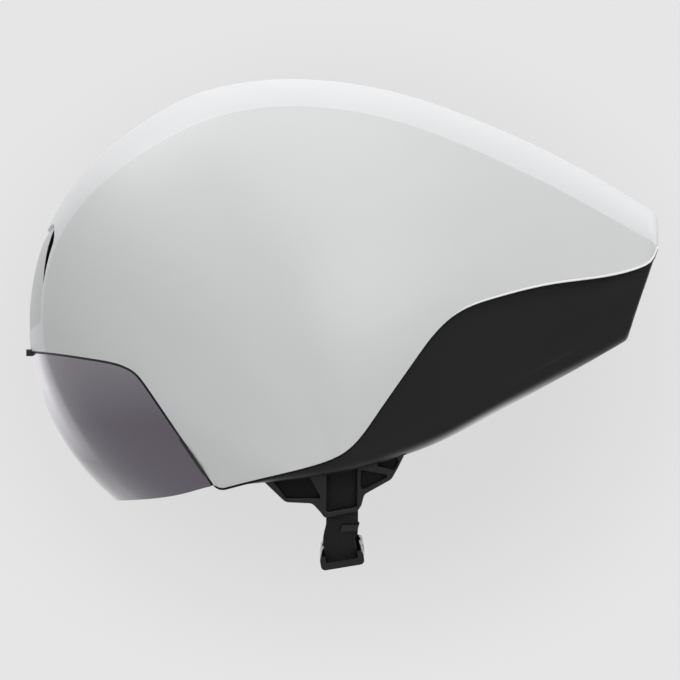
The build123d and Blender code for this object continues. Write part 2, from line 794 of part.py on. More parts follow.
def make_pinion():
    root = pitch_radius - gear_module * dedendum_share
    tip = pitch_radius + gear_module * addendum_share
    steps = (root, (root + tip) / 2, (root + 3 * tip) / 4, tip)
    flank = [(radius * math.sin(involute_turn(radius)), radius * math.cos(involute_turn(radius))) for radius in steps]
    tooth = make_face(Polyline((0, 0), *flank, *[(-x, y) for x, y in reversed(flank)], close=True))
    face = Circle(root)
    for count in range(gear_teeth):
        face = face + Rot(0, 0, count * 360 / gear_teeth) * tooth
    gear = extrude(Plane.YZ * face, amount=rack_thickness)
    gear = Pos(rack_low_x, 0, dial_level) * gear
    shaft_end = housing_back + running_gap + dial_thickness / 2
    shaft = bead(rack_low_x + rack_thickness, shaft_end, 0, dial_level, shaft_radius)
    return gear + shaft - bead(rack_low_x + rack_thickness, shaft_end + overrun, 0, dial_level, screw_radius)


def make_knob():
    """The dial: a fluted rim and a bore for the shaft and the screw."""
    low = housing_back + running_gap
    high = low + dial_thickness
    knob = Cylinder(dial_radius, dial_thickness, align=(Align.CENTER, Align.CENTER, Align.MIN))
    knob = fillet(knob.edges().group_by(Axis.Z)[-1], dial_grip_radius)
    flute = Cylinder(dial_grip_radius, 3 * dial_thickness)
    for count in range(dial_grips):
        knob = knob - Rot(0, 0, count * 360 / dial_grips) * (Pos(dial_radius, 0, 0) * flute)
    knob = Pos(low, 0, dial_level) * (Rot(0, 90, 0) * knob)
    knob = knob - bead(low - overrun, low + dial_thickness / 2, 0, dial_level, shaft_radius)
    knob = knob - bead(low, high + overrun, 0, dial_level, screw_radius)
    return knob - bead(high - screw_head, high + overrun, 0, dial_level, screw_head_radius + running_gap)


def make_screw():
    top = housing_back + running_gap + dial_thickness
    low = rack_low_x + rack_thickness + running_gap
    screw = bead(low, top - screw_head, 0, dial_level, screw_radius)
    return screw + bead(top - screw_head, top, 0, dial_level, screw_head_radius)


def rack_face():
    """A rack in Y and Z from the dial's axis, teeth towards the axis, its arm to the wearer's left."""
    slope = math.tan(math.radians(pressure_angle))
    deep = gear_module * dedendum_share
    high = gear_module * addendum_share
    pitch = math.pi * gear_module
    half = (pitch - flank_play) / 4
    low, top = half + deep * slope, half - high * slope
    end = pitch * 1.5 + low
    root = pitch_radius + deep
    face = make_face(Polyline((-band_start, root), (end, root), (end, rack_back), (-band_start, rack_back), close=True))
    for count in range(-math.ceil(rack_travel / pitch) - 1, 2):
        middle = (count + 0.5) * pitch
        seat = root + rack_web / 4
        crest = pitch_radius - high
        tooth = Polyline((middle - low, root), (middle - top, crest), (middle + top, crest), (middle + low, root), (middle + low, seat), (middle - low, seat), close=True)
        face = face + make_face(tooth)
    return face


def arc_wedge(start, end):
    """A wedge of the arm's bend, between two angles in degrees."""
    far = 3 * band_bend_radius
    corners = [(far * math.cos(math.radians(angle)), -far * math.sin(math.radians(angle))) for angle in (start, end)]
    return make_face(Polyline((0, 0), *corners, close=True))


def place_band(shape, hand):
    """The right band is the left one turned half way round the dial's axis."""
    turned = shape if hand < 0 else Rot(180, 0, 0) * shape
    return Pos(rack_low_x, 0, dial_level) * turned


def make_band(hand):
    """A rack whose arm bends forward round the nape."""
    rack = extrude(Plane.YZ * rack_face(), amount=rack_thickness)
    ring = Circle(band_bend_radius) - Circle(band_bend_radius - rack_thickness)
    arm = extrude(ring & arc_wedge(0, band_bend_angle), amount=2 * rack_back)
    arm = Pos(rack_thickness - band_bend_radius, -band_start, -rack_back) * arm
    return place_band(rack + arm, hand)


def make_nape_pad(hand):
    """A thin cushion on the inside of each arm's end."""
    outer = band_bend_radius - rack_thickness - pad_seat_gap
    ring = Circle(outer) - Circle(outer - nape_pad_thickness)
    start = band_bend_angle * (1 - nape_pad_share)
    height = 2 * (rack_back - nape_pad_edge)
    pad = extrude(ring & arc_wedge(start, band_bend_angle), amount=height)
    pad = fillet(pad.edges(), pad_round)
    pad = Pos(rack_thickness - band_bend_radius, -band_start, -height / 2) * pad
    return place_band(pad, hand)


# Strap guides, rivets and webbing

def rivet(hand, x_share, z_share, radius, low, high):
    x, y = guide_spot(x_share, z_share, hand)
    post = Cylinder(radius, high - low, align=(Align.CENTER, Align.CENTER, Align.MIN))
    return guide_plane(hand) * (Pos(x, y, low) * post)


def make_guide(hand):
    """The moulded Y: two arms that meet at a bar, with a window for the webbing and two recesses."""
    plate = guide_plate(guide_face(guide_outline_shares, hand, guide_corner), hand, 0, guide_wall)
    for shares, floor in ((guide_front_window_shares, guide_web), (guide_strap_window_shares, -overrun), (guide_rear_window_shares, guide_web)):
        window = guide_plate(guide_face(shares, hand, guide_corner / 2), hand, floor, guide_wall + overrun)
        plate = plate - window
    for x_share, z_share in rivet_shares:
        plate = plate - rivet(hand, x_share, z_share, rivet_radius + guide_slot_gap / 4, -overrun, overrun)
    return plate


def make_rivets(hand):
    posts = []
    for x_share, z_share in rivet_shares:
        post = rivet(hand, x_share, z_share, rivet_radius, 0, rivet_length)
        head = rivet(hand, x_share, z_share, rivet_radius * 1.6, -rivet_head, 0)
        posts.append(post + head)
    return Compound(posts)


def strap_start(hand):
    """Where the webbing comes down behind the guide, as places in Y and Z."""
    lean = math.radians(guide_lean)
    toe = math.radians(guide_toe)
    back = strap_gap + strap_thickness / 2 + strap_width / 2 * math.sin(toe)
    y = guide_half_span - strap_x * math.tan(toe) - back * math.cos(lean)
    z = guide_top + back * math.sin(lean)
    top = (hand * (y + strap_rise * math.sin(lean)), z + strap_rise * math.cos(lean))
    run = (guide_drop + strap_foot) / math.cos(lean)
    foot = (hand * (y - run * math.sin(lean)), z - run * math.cos(lean))
    return top, foot


def ribbon(points, radii):
    """Webbing of one width along a path of places in Y and Z."""
    path = FilletPolyline(*[(strap_x, y, z) for y, z in points], radius=radii)
    plane = Plane(origin=path @ 0, x_dir=(1, 0, 0), z_dir=path % 0)
    return sweep(plane * Rectangle(strap_width, strap_thickness), path=path)


buckle_length = female_length + buckle_gap + male_length


def buckle_spot(along, lift):
    """A place in Y and Z from a run along the buckle and a lift off its middle plane."""
    tilt = math.radians(buckle_tilt)
    y = buckle_near_y + along * math.cos(tilt) - lift * math.sin(tilt)
    z = buckle_near_z + along * math.sin(tilt) + lift * math.cos(tilt)
    return (y, z)


def wrap(start, bar):
    """Path that comes from a start, goes round a bar and folds back along itself."""
    run_y, run_z = bar[0] - start[0], bar[1] - start[1]
    turn = buckle_bar / 2 + strap_bar_gap + strap_thickness / 2
    heading = math.atan2(run_z, run_y) - math.asin(turn / math.hypot(run_y, run_z))
    way = (math.cos(heading), math.sin(heading))
    across = (way[1], -way[0])

    def spot(over, along):
        return (bar[0] + across[0] * over + way[0] * along, bar[1] + across[1] * over + way[1] * along)

    fold = turn - strap_thickness - strap_fold_gap
    far = -fold_near - fold_far
    points = [spot(turn, turn), spot(-turn, turn), spot(-turn, -fold_near), spot(fold, far), spot(fold, far - fold_run)]
    radii = [turn * 0.98, turn * 0.98, strap_bend, strap_bend]
    return spot(turn, -fold_near), points, radii


def make_chin_strap(hand):
    top, foot = strap_start(hand)
    along = buckle_bar / 2 if hand < 0 else buckle_length - buckle_bar / 2
    points, radii = wrap(foot, buckle_spot(along, 0))[1:]
    return ribbon([top, foot] + points, [strap_bend] + radii)


def make_rear_strap(hand):
    points = [guide_spot(x_share, z_share, hand) for x_share, z_share in rear_strap_shares]
    face = make_face(Polyline(*points, close=True))
    strap = guide_plate(face, hand, -strap_gap - strap_thickness, -strap_gap)
    for x_share, z_share in rivet_shares:
        strap = strap - rivet(hand, x_share, z_share, rivet_radius * 1.6 + guide_slot_gap / 4, -overrun, overrun)
    return strap


# Side-release buckle, drawn along X with its thickness along Z

def buckle_place(shape):
    tilt = math.radians(buckle_tilt)
    way = (0, math.cos(tilt), math.sin(tilt))
    up = (0, -math.sin(tilt), math.cos(tilt))
    return Plane(origin=(strap_x, buckle_near_y, buckle_near_z), x_dir=way, z_dir=up) * shape


def block(low, high, half, lift):
    box = Box(high - low, 2 * half, 2 * lift, align=(Align.MIN, Align.CENTER, Align.CENTER))
    return Pos(low, 0, 0) * box


def cross_bar(along, half):
    return Pos(along, 0, 0) * (Rot(90, 0, 0) * Cylinder(buckle_bar / 2, 2 * half))


slot_half = strap_width / 2 + guide_slot_gap
buckle_half = buckle_width / 2
cavity_lift = buckle_thickness / 2 - buckle_wall
webbing_end = buckle_bar + buckle_slot


def make_female():
    body = block(-buckle_lip, female_length, buckle_half, buckle_thickness / 2)
    body = fillet(body.edges().filter_by(Axis.X), buckle_corner)
    body = body - block(-buckle_lip + 1.5 * buckle_wall, webbing_end, slot_half, buckle_thickness)
    body = body - Pos(0, 0, buckle_thickness / 2) * block(-buckle_lip - overrun, -buckle_lip + 1.5 * buckle_wall, slot_half, buckle_thickness / 2)
    body = body + cross_bar(buckle_bar / 2, slot_half + buckle_wall)
    body = body - block(webbing_end + 2 * buckle_wall, female_length + overrun, slot_half, cavity_lift)
    low = female_length - prong_reach + buckle_wall
    window = block(low, low + prong_head + buckle_wall, buckle_half + overrun, cavity_lift - buckle_gap / 2)
    return buckle_place(body - window)


def make_male():
    low = female_length + buckle_gap
    body = block(low, buckle_length, buckle_half - buckle_gap, buckle_thickness / 2 - buckle_gap)
    body = fillet(body.edges().filter_by(Axis.X), buckle_corner)
    body = body - block(buckle_length - webbing_end, buckle_length + overrun, slot_half, buckle_thickness)
    body = body + cross_bar(buckle_length - buckle_bar / 2, slot_half + buckle_wall)
    rail = block(female_length - prong_reach, low, guide_tongue / 2, cavity_lift - buckle_gap)
    return buckle_place(body + rail)


def make_prongs():
    """Two sprung prongs with heads that fill the side windows."""
    low = female_length - prong_reach + buckle_wall + buckle_gap
    root = female_length + buckle_gap
    lift = cavity_lift - buckle_gap
    centre = slot_half - prong_width / 2 - buckle_gap
    reach = buckle_half - buckle_gap - centre
    pieces = []
    for hand in (-1, 1):
        arm = Pos(0, hand * centre, 0) * block(low, root, prong_width / 2, lift)
        head = Pos(0, hand * (centre + reach / 2), 0) * block(low, low + prong_head - buckle_gap, reach / 2, lift - buckle_gap / 2)
        pieces.append(buckle_place(arm + head))
    return Compound(pieces)


def make_keeper():
    """A small clip on the webbing's rear edge, above the buckle."""
    foot = strap_start(-1)[1]
    lead = wrap(foot, buckle_spot(buckle_bar / 2, 0))[0]
    run_y, run_z = lead[0] - foot[0], lead[1] - foot[1]
    length = math.hypot(run_y, run_z)
    middle = (foot[0] + run_y * keeper_share, foot[1] + run_z * keeper_share)
    plane = Plane(origin=(strap_x, middle[0], middle[1]), x_dir=(1, 0, 0), z_dir=(0, run_y / length, run_z / length))
    gap = strap_gap / 2
    wide = strap_width / 2 + gap + keeper_wall
    deep = strap_thickness + 2 * gap + 2 * keeper_wall
    outer = Box(wide, deep, keeper_length, align=(Align.MIN, Align.CENTER, Align.CENTER))
    outer = fillet(outer.edges().filter_by(Axis.Z), keeper_wall * 0.8)
    room = Box(wide - keeper_wall + overrun, strap_thickness + 2 * gap, 2 * keeper_length, align=(Align.MAX, Align.CENTER, Align.CENTER))
    return plane * (outer - Pos(wide - keeper_wall, 0, 0) * room)


lens, seat = add_bosses(lens, seat)
write(lens, "visor_lens")
write(seat, "visor_seat")
write(make_magnets(0), "lens_magnets")
write(make_magnets(1), "seat_magnets")
for name, pad in make_pads().items():
    write(pad, name)
write(make_yoke(), "fit_yoke")
write(make_housing(), "dial_housing")
write(make_pinion(), "dial_pinion")
write(make_knob(), "dial_knob")
write(make_screw(), "dial_screw")
write(make_female(), "buckle_female")
write(make_male(), "buckle_male")
write(make_prongs(), "buckle_prongs")
write(make_keeper(), "strap_keeper")
liner = make_liner()
for hand, name in ((-1, "left"), (1, "right")):
    pin = make_pin(hand)
    rivets = make_rivets(hand)
    slot = guide_slot(hand)
    liner = liner - slot - pin - rivets
    lower_shell = lower_shell - slot - rivets
    write(pin, "temple_pin_" + name)
    write(rivets, "guide_rivets_" + name)
    write(make_band(hand), "rack_band_" + name)
    write(make_nape_pad(hand), "nape_pad_" + name)
    write(make_guide(hand), "strap_guide_" + name)
    write(make_chin_strap(hand), "chin_strap_" + name)
    write(make_rear_strap(hand), "rear_strap_" + name)
write(lower_shell, "lower_shell")
write(liner, "foam_liner")
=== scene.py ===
import bmesh
import bpy
import numpy as np
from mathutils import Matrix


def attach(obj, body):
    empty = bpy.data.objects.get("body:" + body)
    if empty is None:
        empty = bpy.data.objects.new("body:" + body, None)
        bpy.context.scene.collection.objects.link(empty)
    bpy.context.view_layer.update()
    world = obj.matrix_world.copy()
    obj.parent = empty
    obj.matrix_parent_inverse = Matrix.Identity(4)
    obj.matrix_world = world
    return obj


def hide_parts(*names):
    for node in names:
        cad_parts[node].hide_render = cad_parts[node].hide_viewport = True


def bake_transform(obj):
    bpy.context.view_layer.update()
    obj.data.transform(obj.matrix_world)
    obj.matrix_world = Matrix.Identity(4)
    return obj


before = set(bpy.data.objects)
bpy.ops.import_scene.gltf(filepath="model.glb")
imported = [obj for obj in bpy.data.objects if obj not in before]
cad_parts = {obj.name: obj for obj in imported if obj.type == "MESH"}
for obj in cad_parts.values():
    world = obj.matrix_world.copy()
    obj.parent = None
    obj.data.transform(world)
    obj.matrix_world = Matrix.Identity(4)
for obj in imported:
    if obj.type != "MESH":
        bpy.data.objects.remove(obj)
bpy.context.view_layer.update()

# Camera and studio. The camera looks straight at the helmet's left side, with no perspective.
# A pale sweep stands behind and under the helmet, and soft boxes light it from above, in front and behind.

picture_width = 0.3332
picture_centre = (0.02156, -0.00098)

camera_data = bpy.data.cameras.new("side_camera")
camera_data.type = "ORTHO"
camera_data.ortho_scale = picture_width
side_camera = bpy.data.objects.new("side_camera", camera_data)
side_camera.location = (picture_centre[0], -3.0, picture_centre[1])
side_camera.rotation_euler = (np.pi / 2, 0, 0)
bpy.context.scene.collection.objects.link(side_camera)
bpy.context.scene.camera = side_camera
bpy.context.scene.view_settings.view_transform = "Standard"


def soft_box(name, place, aim, size, power):
    """A square lamp at a place, turned so that it faces the aim."""
    lamp = bpy.data.lights.new(name, "AREA")
    lamp.size = size
    lamp.energy = power
    holder = bpy.data.objects.new(name, lamp)
    way = np.array(aim, float) - np.array(place, float)
    flat = np.hypot(way[0], way[1])
    holder.location = place
    holder.rotation_euler = (np.arctan2(flat, -way[2]), 0, np.arctan2(way[1], way[0]) - np.pi / 2)
    bpy.context.scene.collection.objects.link(holder)


soft_box("lamp_above", (0.1, -0.30, 1.3), (0.02, 0, 0), 1.3, 7.2)
soft_box("lamp_side", (0.6, -1.6, 0.75), (0.05, 0, 0.02), 1.2, 13)
soft_box("lamp_front", (-0.85, 0.2, 1.25), (-0.08, 0, 0.03), 0.8, 7)
soft_box("lamp_behind", (1.1, 0.9, 0.6), (0.1, 0, 0), 0.9, 3)

# The card's even grey, and the darker grey of the shadow painted round the helmet.
card_grey, card_painted_shadow = 0.805, 0.70
low_light, high_light = 0.03, 0.39
ambient_tint = (0.96, 0.97, 1.0, 1)


def add_node(tree, kind, sockets=None, **settings):
    """A shader node: its settings by name, then its sockets, each set to a value or linked from an output."""
    node = tree.nodes.new("ShaderNode" + kind)
    for name, value in settings.items():
        setattr(node, name, value)
    for name, value in (sockets or {}).items():
        if isinstance(value, bpy.types.NodeSocket):
            tree.links.new(value, node.inputs[name])
        else:
            node.inputs[name].default_value = value
    return node


def add_ramp(tree, value, low, high, way="LINEAR"):
    """The colour that a value gives between two stops, each a place and a colour."""
    ramp = add_node(tree, "ValToRGB", {"Fac": value})
    ramp.color_ramp.interpolation = way
    for stop, (place, colour) in zip(ramp.color_ramp.elements, (low, high)):
        stop.position, stop.color = place, colour
    return ramp.outputs["Color"]


def grey(level):
    """A colour with the same red, green and blue, and no see-through."""
    return (level, level, level, 1)


def reckon(tree, way, first, second):
    """Two values put together by the named kind of sum."""
    return add_node(tree, "Math", {0: first, 1: second}, operation=way).outputs["Value"]


def blended(tree, share, first, second, way="MIX"):
    """Two colours mixed by a share, or put together in another named way by that share."""
    sockets = {"Factor": share, "A": first, "B": second}
    return add_node(tree, "Mix", sockets, data_type="RGBA", blend_type=way).outputs["Result"]


def axis_value(tree, kind, way, axis):
    """One coordinate of a place or a direction that a kind of node gives."""
    return add_node(tree, "SeparateXYZ", {"Vector": add_node(tree, kind).outputs[way]}).outputs[axis]


def span(tree, value, low, high, start=0.0, end=1.0):
    """A value that goes from start to end as another goes from low to high."""
    sockets = {"Value": value, "From Min": low, "From Max": high, "To Min": start, "To Max": end}
    return add_node(tree, "MapRange", sockets).outputs["Result"]


def seen_ray(tree):
    """One for a ray from the camera, or one that metal or glass sends on, and zero for light that lands."""
    path = add_node(tree, "LightPath").outputs
    glossy = reckon(tree, "MAXIMUM", path["Is Camera Ray"], path["Is Glossy Ray"])
    return reckon(tree, "MAXIMUM", glossy, path["Is Transmission Ray"])


studio_world = bpy.data.worlds.new("studio_world")
bpy.context.scene.world = studio_world
studio_world.use_nodes = True
tree = studio_world.node_tree
tree.nodes.clear()
strength = span(tree, axis_value(tree, "TexCoord", "Generated", "Z"), -0.7, 0.8, low_light, high_light)
ambient = add_node(tree, "Background", {"Color": ambient_tint, "Strength": strength})
shown = add_node(tree, "Background", {"Color": grey(card_grey)})
either = add_node(tree, "MixShader", {"Fac": seen_ray(tree), 1: ambient.outputs["Background"],
                                      2: shown.outputs["Background"]})
add_node(tree, "OutputWorld", {"Surface": either.outputs["Shader"]})

floor_level = -0.215
wall_place = 1.3
sweep_radius = 0.08
sweep_reach = 3.0
floor_part, turn_part = 0.4, 0.2


def sweep_points(along, across):
    """The floor runs back level, turns up on a quarter circle and goes on as the wall."""
    turn = np.clip((across - floor_part) / turn_part, 0, 1) * np.pi / 2
    floor_run = np.clip(across / floor_part, 0, 1)
    wall_run = np.clip((across - floor_part - turn_part) / (1 - floor_part - turn_part), 0, 1)
    y = -sweep_reach + (wall_place - sweep_radius + sweep_reach) * floor_run + sweep_radius * np.sin(turn)
    z = floor_level + sweep_radius * (1 - np.cos(turn)) + sweep_reach * wall_run
    return np.stack([(along - 0.5) * 2 * sweep_reach, y, z], -1)


def grid_faces(rows, columns):
    """Four-cornered faces of a grid whose points are numbered row by row."""
    first = (np.arange(rows - 1)[:, None] * columns + np.arange(columns - 1)).ravel()
    return np.stack([first, first + columns, first + columns + 1, first + 1], 1)


def new_piece(name, points, faces, material, sharp=40):
    """A mesh object at the origin from points and faces, smooth but for edges sharper than the angle."""
    mesh = bpy.data.meshes.new(name)
    mesh.from_pydata(np.asarray(points).reshape(-1, 3).tolist(), [], [list(f) for f in faces])
    mesh.polygons.foreach_set("use_smooth", [True] * len(mesh.polygons))
    mesh.set_sharp_from_angle(angle=np.radians(sharp))
    mesh.materials.append(material)
    piece = bpy.data.objects.new(name, mesh)
    bpy.context.scene.collection.objects.link(piece)
    return piece


glow_share = 0.9
card = bpy.data.materials.new("pale_card")
card.use_nodes = True
tree = card.node_tree
matt = tree.nodes["Principled BSDF"]
matt.inputs["Base Color"].default_value = grey(0.80)
matt.inputs["Roughness"].default_value = 0.9
# Painted shadow: the card shows the camera mostly its own glow, darkened to a soft oval round the helmet in place of
# the helmet's shadow on it.
where = add_node(tree, "TexCoord").outputs["Object"]
oval = add_node(tree, "Mapping", {"Vector": where, "Location": (-0.10, 0, 0.05), "Scale": (4.6, 0, 5.6)})
painted_shadow_oval = add_node(tree, "TexGradient", {"Vector": oval.outputs["Vector"]}, gradient_type="SPHERICAL")
tones = add_ramp(tree, painted_shadow_oval.outputs["Fac"], (0, grey(card_grey)), (0.6, grey(card_painted_shadow)), "EASE")
glow = add_node(tree, "Emission", {"Color": tones})
share = reckon(tree, "MULTIPLY", seen_ray(tree), glow_share)
either = add_node(tree, "MixShader", {"Fac": share, 1: matt.outputs["BSDF"], 2: glow.outputs["Emission"]})
tree.links.new(either.outputs["Shader"], tree.nodes["Material Output"].inputs["Surface"])

along, across = np.meshgrid(np.linspace(0, 1, 3), np.linspace(0, 1, 41), indexing="ij")
pale_sweep = new_piece("pale_sweep", sweep_points(along, across), grid_faces(3, 41)[:, ::-1], card)

# Outer form. The shell, the lens and the vent's island are parts of one smooth form, as the real
# moulds are: a fan of ribs from a root under the ear, each a crown arc between two creases and two sides.

front_reach, tail_reach = 0.131, 0.1775
crown_rise, ear_drop = 0.127, 0.0794
half_width = 0.102
crease_turn = 16
belly_run_share, inset_crease_share = 0.45, 0.38
hem_run = 0.008


def side_place(shares):
    """Places of the side view in X and Z from shares of the four reaches."""
    shares = np.asarray(shares, float)
    reach = np.where(shares[..., 0] > 0, tail_reach, front_reach)
    rise = np.where(shares[..., 1] > 0, crown_rise, ear_drop)
    return np.stack([shares[..., 0] * reach, shares[..., 1] * rise], -1)


# Crown place and level, drop and half width at the crease, run and half width at the shoulder,
# half widths at the belly and at the hem, and how much the crease turns.
ribs = np.array([
    (-0.560, -1.145, 0.100, 0.350, 0.845, 0.640, 0.840, 0.840, 0.00),
    (-0.810, -0.769, 0.085, 0.355, 0.845, 0.690, 0.915, 0.860, 0.00),
    (-0.985, -0.142, 0.052, 0.280, 0.845, 0.740, 1.030, 0.880, 0.00),
    (-0.951, 0.357, 0.036, 0.280, 0.845, 0.720, 1.110, 0.880, 0.45),
    (-0.744, 0.692, 0.052, 0.375, 0.830, 0.780, 1.150, 0.880, 0.55),
    (-0.473, 0.895, 0.063, 0.430, 0.815, 0.810, 1.160, 0.880, 0.85),
    (-0.261, 0.974, 0.064, 0.455, 0.805, 0.835, 1.160, 0.880, 1.00),
    (0.013, 0.999, 0.064, 0.465, 0.800, 0.845, 1.160, 0.880, 1.00),
    (0.293, 0.941, 0.067, 0.460, 0.800, 0.830, 1.130, 0.865, 1.00),
    (0.586, 0.791, 0.072, 0.430, 0.810, 0.775, 1.050, 0.835, 0.95),
    (0.831, 0.620, 0.071, 0.380, 0.820, 0.680, 0.930, 0.805, 0.85),
    (1.043, 0.440, 0.063, 0.330, 0.830, 0.580, 0.830, 0.785, 0.75),
    (1.244, 0.270, 0.055, 0.280, 0.840, 0.490, 0.760, 0.765, 0.70),
    (1.400, 0.070, 0.050, 0.240, 0.840, 0.430, 0.700, 0.745, 0.60),
])
rib_root = side_place((0.135, -1.0))


def spline_value(knots, values, spot):
    """Natural cubic spline: the second slopes solve a three-band system, then each run is a cubic."""
    knots, values = np.asarray(knots, float), np.asarray(values, float)
    gap = np.diff(knots)
    count = len(knots)
    flat = values.reshape(count, -1)
    band = np.zeros((count, count))
    right = np.zeros_like(flat)
    band[0, 0] = band[-1, -1] = 1
    inner = np.arange(1, count - 1)
    band[inner, inner - 1] = gap[:-1]
    band[inner, inner] = 2 * (gap[:-1] + gap[1:])
    band[inner, inner + 1] = gap[1:]
    slopes = np.diff(flat, axis=0) / gap[:, None]
    right[1:-1] = 6 * np.diff(slopes, axis=0)
    bend = np.linalg.solve(band, right)
    spot = np.asarray(spot, float)
    run = np.clip(np.searchsorted(knots, spot.ravel(), side="right") - 1, 0, count - 2)
    ahead = ((knots[run + 1] - spot.ravel()) / gap[run])[:, None]
    behind = 1 - ahead
    width = gap[run][:, None] ** 2 / 6
    got = ahead * flat[run] + behind * flat[run + 1]
    got = got + width * ((ahead**3 - ahead) * bend[run] + (behind**3 - behind) * bend[run + 1])
    return got.reshape(spot.shape + values.shape[1:])


def rib_controls(inset):
    """Control points of each rib's right half, crown to hem, moved in by the inset."""
    crown = side_place(ribs[:, :2]) - rib_root
    length = np.hypot(crown[:, 0], crown[:, 1])
    way = crown / length[:, None]
    length = length - inset
    crease = length * (1 - ribs[:, 2])
    crease_half = half_width * ribs[:, 3] - inset * inset_crease_share
    shoulder, shoulder_half = crease * ribs[:, 4], half_width * ribs[:, 5] - inset
    belly, belly_half = crease * belly_run_share, half_width * ribs[:, 6] - inset
    hem, hem_half = np.full(len(ribs), hem_run), half_width * ribs[:, 7] - inset
    lean = np.arctan2(crease - shoulder, shoulder_half - crease_half)
    rise = (length - crease) * 4 / 3
    crown_half = crease_half - rise / np.tan(lean - np.radians(crease_turn * ribs[:, 8]))
    run = np.stack([crease + rise, crease, shoulder, belly, hem], 1)
    half = np.stack([crown_half, crease_half, shoulder_half, belly_half, hem_half], 1)
    return np.stack([rib_root[0] + way[:, :1] * run, half, rib_root[1] + way[:, 1:] * run], -1)


def bezier(a, b, c, d, t):
    """Cubic Bezier: the four points weighted by the terms of (1 - t + t) cubed."""
    t = t[..., None]
    return (1 - t) ** 3 * a + 3 * (1 - t) ** 2 * t * b + 3 * (1 - t) * t**2 * c + t**3 * d


crease_left, crease_right = 0.38, 0.62
other_hand = np.array([1.0, -1.0, 1.0])


def skin_points(rib, round_way, inset=0.0):
    """The outside at a rib number and a share of the way round from the left hem over the crown to
    the right hem. The ribs' control points follow a spline along the ribs, then each rib is its curves."""
    points = spline_value(np.arange(len(ribs)), rib_controls(inset), rib)
    crown, crease, shoulder, belly, hem = (points[..., i, :] for i in range(5))
    to_left = round_way < 0.5
    down = np.where(to_left, crease_left - round_way, round_way - crease_right) / crease_left
    side = bezier(crease, shoulder, belly, hem, np.clip(down, 0, 1))
    side = np.where(to_left[..., None], side * other_hand, side)
    over = np.clip((round_way - crease_left) / (crease_right - crease_left), 0, 1)
    top = bezier(crease * other_hand, crown * other_hand, crown, crease, over)
    return np.where((down > 0)[..., None], side, top)


def line_gap(loop, spots):
    """Distance of spots from a closed loop in a plane, counted below zero inside it."""
    a = np.asarray(loop, float)
    b = np.roll(a, -1, axis=0)
    flat = spots.reshape(-1, 2)
    near = np.full(len(flat), np.inf)
    inside = np.zeros(len(flat), bool)
    for start, end in zip(a, b):
        run = end - start
        share = np.clip(((flat - start) @ run) / max(run @ run, 1e-18), 0, 1)
        near = np.minimum(near, np.hypot(*(flat - start - share[:, None] * run).T))
        crosses = (start[1] > flat[:, 1]) != (end[1] > flat[:, 1])
        if abs(run[1]) > 1e-12:
            inside ^= crosses & (flat[:, 0] < start[0] + (flat[:, 1] - start[1]) * run[0] / run[1])
    return np.where(inside, -near, near).reshape(spots.shape[:-1])


def curve_through(places, count):
    """A smooth line through places, by a spline over the length of their chords."""
    places = np.asarray(places, float)
    chords = np.r_[0, np.cumsum(np.hypot(*np.diff(places, axis=0).T))]
    return spline_value(chords, places, np.linspace(0, chords[-1], count))


edge_lean_share = 0.528
far_out = 0.4
border_shares = [
    (-0.400, -0.985), (-0.153, -0.876), (0.052, -0.784), (0.135, -0.704), (0.218, -0.488), (0.328, -0.136),
    (0.389, 0.027), (0.453, 0.102), (0.549, 0.154), (0.715, 0.209), (0.950, 0.270), (0.983, 0.297),
    (0.997, 0.339), (1.010, 0.409)]
visor_shares = [
    (-1.070, -0.071), (-0.920, -0.090), (-0.748, -0.131), (-0.666, -0.159), (-0.606, -0.207), (-0.561, -0.293)]
visor_foot = (-0.254, -1.037)
visor_low, visor_front = -0.15, -0.2
bottom_shares = [
    (-0.733, -1.006), (-0.546, -0.993), (-0.411, -0.957), (-0.310, -0.913), (-0.116, -0.901), (0.039, -0.858),
    (0.163, -0.802), (0.287, -0.734), (0.384, -0.642), (0.494, -0.525), (0.605, -0.383), (0.715, -0.253),
    (0.914, -0.012)]


def under_border(raised):
    """Closed loop of the side view under the white shell's edge, that edge raised by a distance."""
    edge = curve_through(side_place(border_shares), 90) + (-raised * edge_lean_share, raised)
    rear, front = edge[-1, 0] + far_out / 2, edge[0, 0] - far_out
    return np.vstack([edge, (rear, edge[-1, 1]), (rear, -far_out), (front, -far_out), (front, edge[0, 1])])


def visor_loop(moved):
    """Closed loop of the side view round the visor, its upper and rear edge moved in by a distance."""
    places = side_place(visor_shares + [visor_foot]) - (moved * edge_lean_share, moved)
    edge = curve_through(places[:-1], 60)
    return np.vstack([edge, places[-1], (places[-1, 0], visor_low), (visor_front, visor_low),
                      (visor_front, places[0, 1])])


tail_round = 2.0
rib_hair, round_hair = 1e-3, 1e-4
trim_halvings, half_halvings = 14, 20


def tail_gap(points, foot, lean):
    """Distance in front of a tail end that is a lying cylinder of large radius, leant in the side view."""
    way = np.array([np.cos(lean), -np.sin(lean)])
    ahead = (points[..., 0] - foot[0]) * way[0] + (points[..., 2] - foot[1]) * way[1]
    drop = tail_round - np.sqrt(np.maximum(tail_round**2 - points[..., 1] ** 2, 0))
    return -(ahead + drop)


def unit(ways):
    """The same directions at a length of one."""
    return ways / np.maximum(np.linalg.norm(ways, axis=-1, keepdims=True), 1e-12)


def ended(place, foot, lean, radius):
    """The same outside rounded over at a tail end: a point near the end moves in along its normal by the
    rise of a circle, and keeps its distance from the end."""
    way = np.array([np.cos(lean), 0, -np.sin(lean)])

    def normals(u, v):
        across = np.cross(place(u + rib_hair, v) - place(u - rib_hair, v),
                          place(u, v + round_hair) - place(u, v - round_hair))
        return unit(across - (across @ way)[..., None] * way)

    sign = -np.sign(normals(np.array([5.0]), np.array([0.2]))[0, 1])

    def rounded_over(u, v):
        points = place(u, v)
        gap = tail_gap(points, foot, lean)
        near = gap < radius
        if near.any():
            rise = np.clip(radius - gap[near], 0, radius)
            moved = points[near] - sign * normals(u[near], v[near]) * (radius - np.sqrt(radius**2 - rise**2))[:, None]
            points[near] = moved + way * (tail_gap(moved, foot, lean) - gap[near])[:, None]
        return points
    return rounded_over


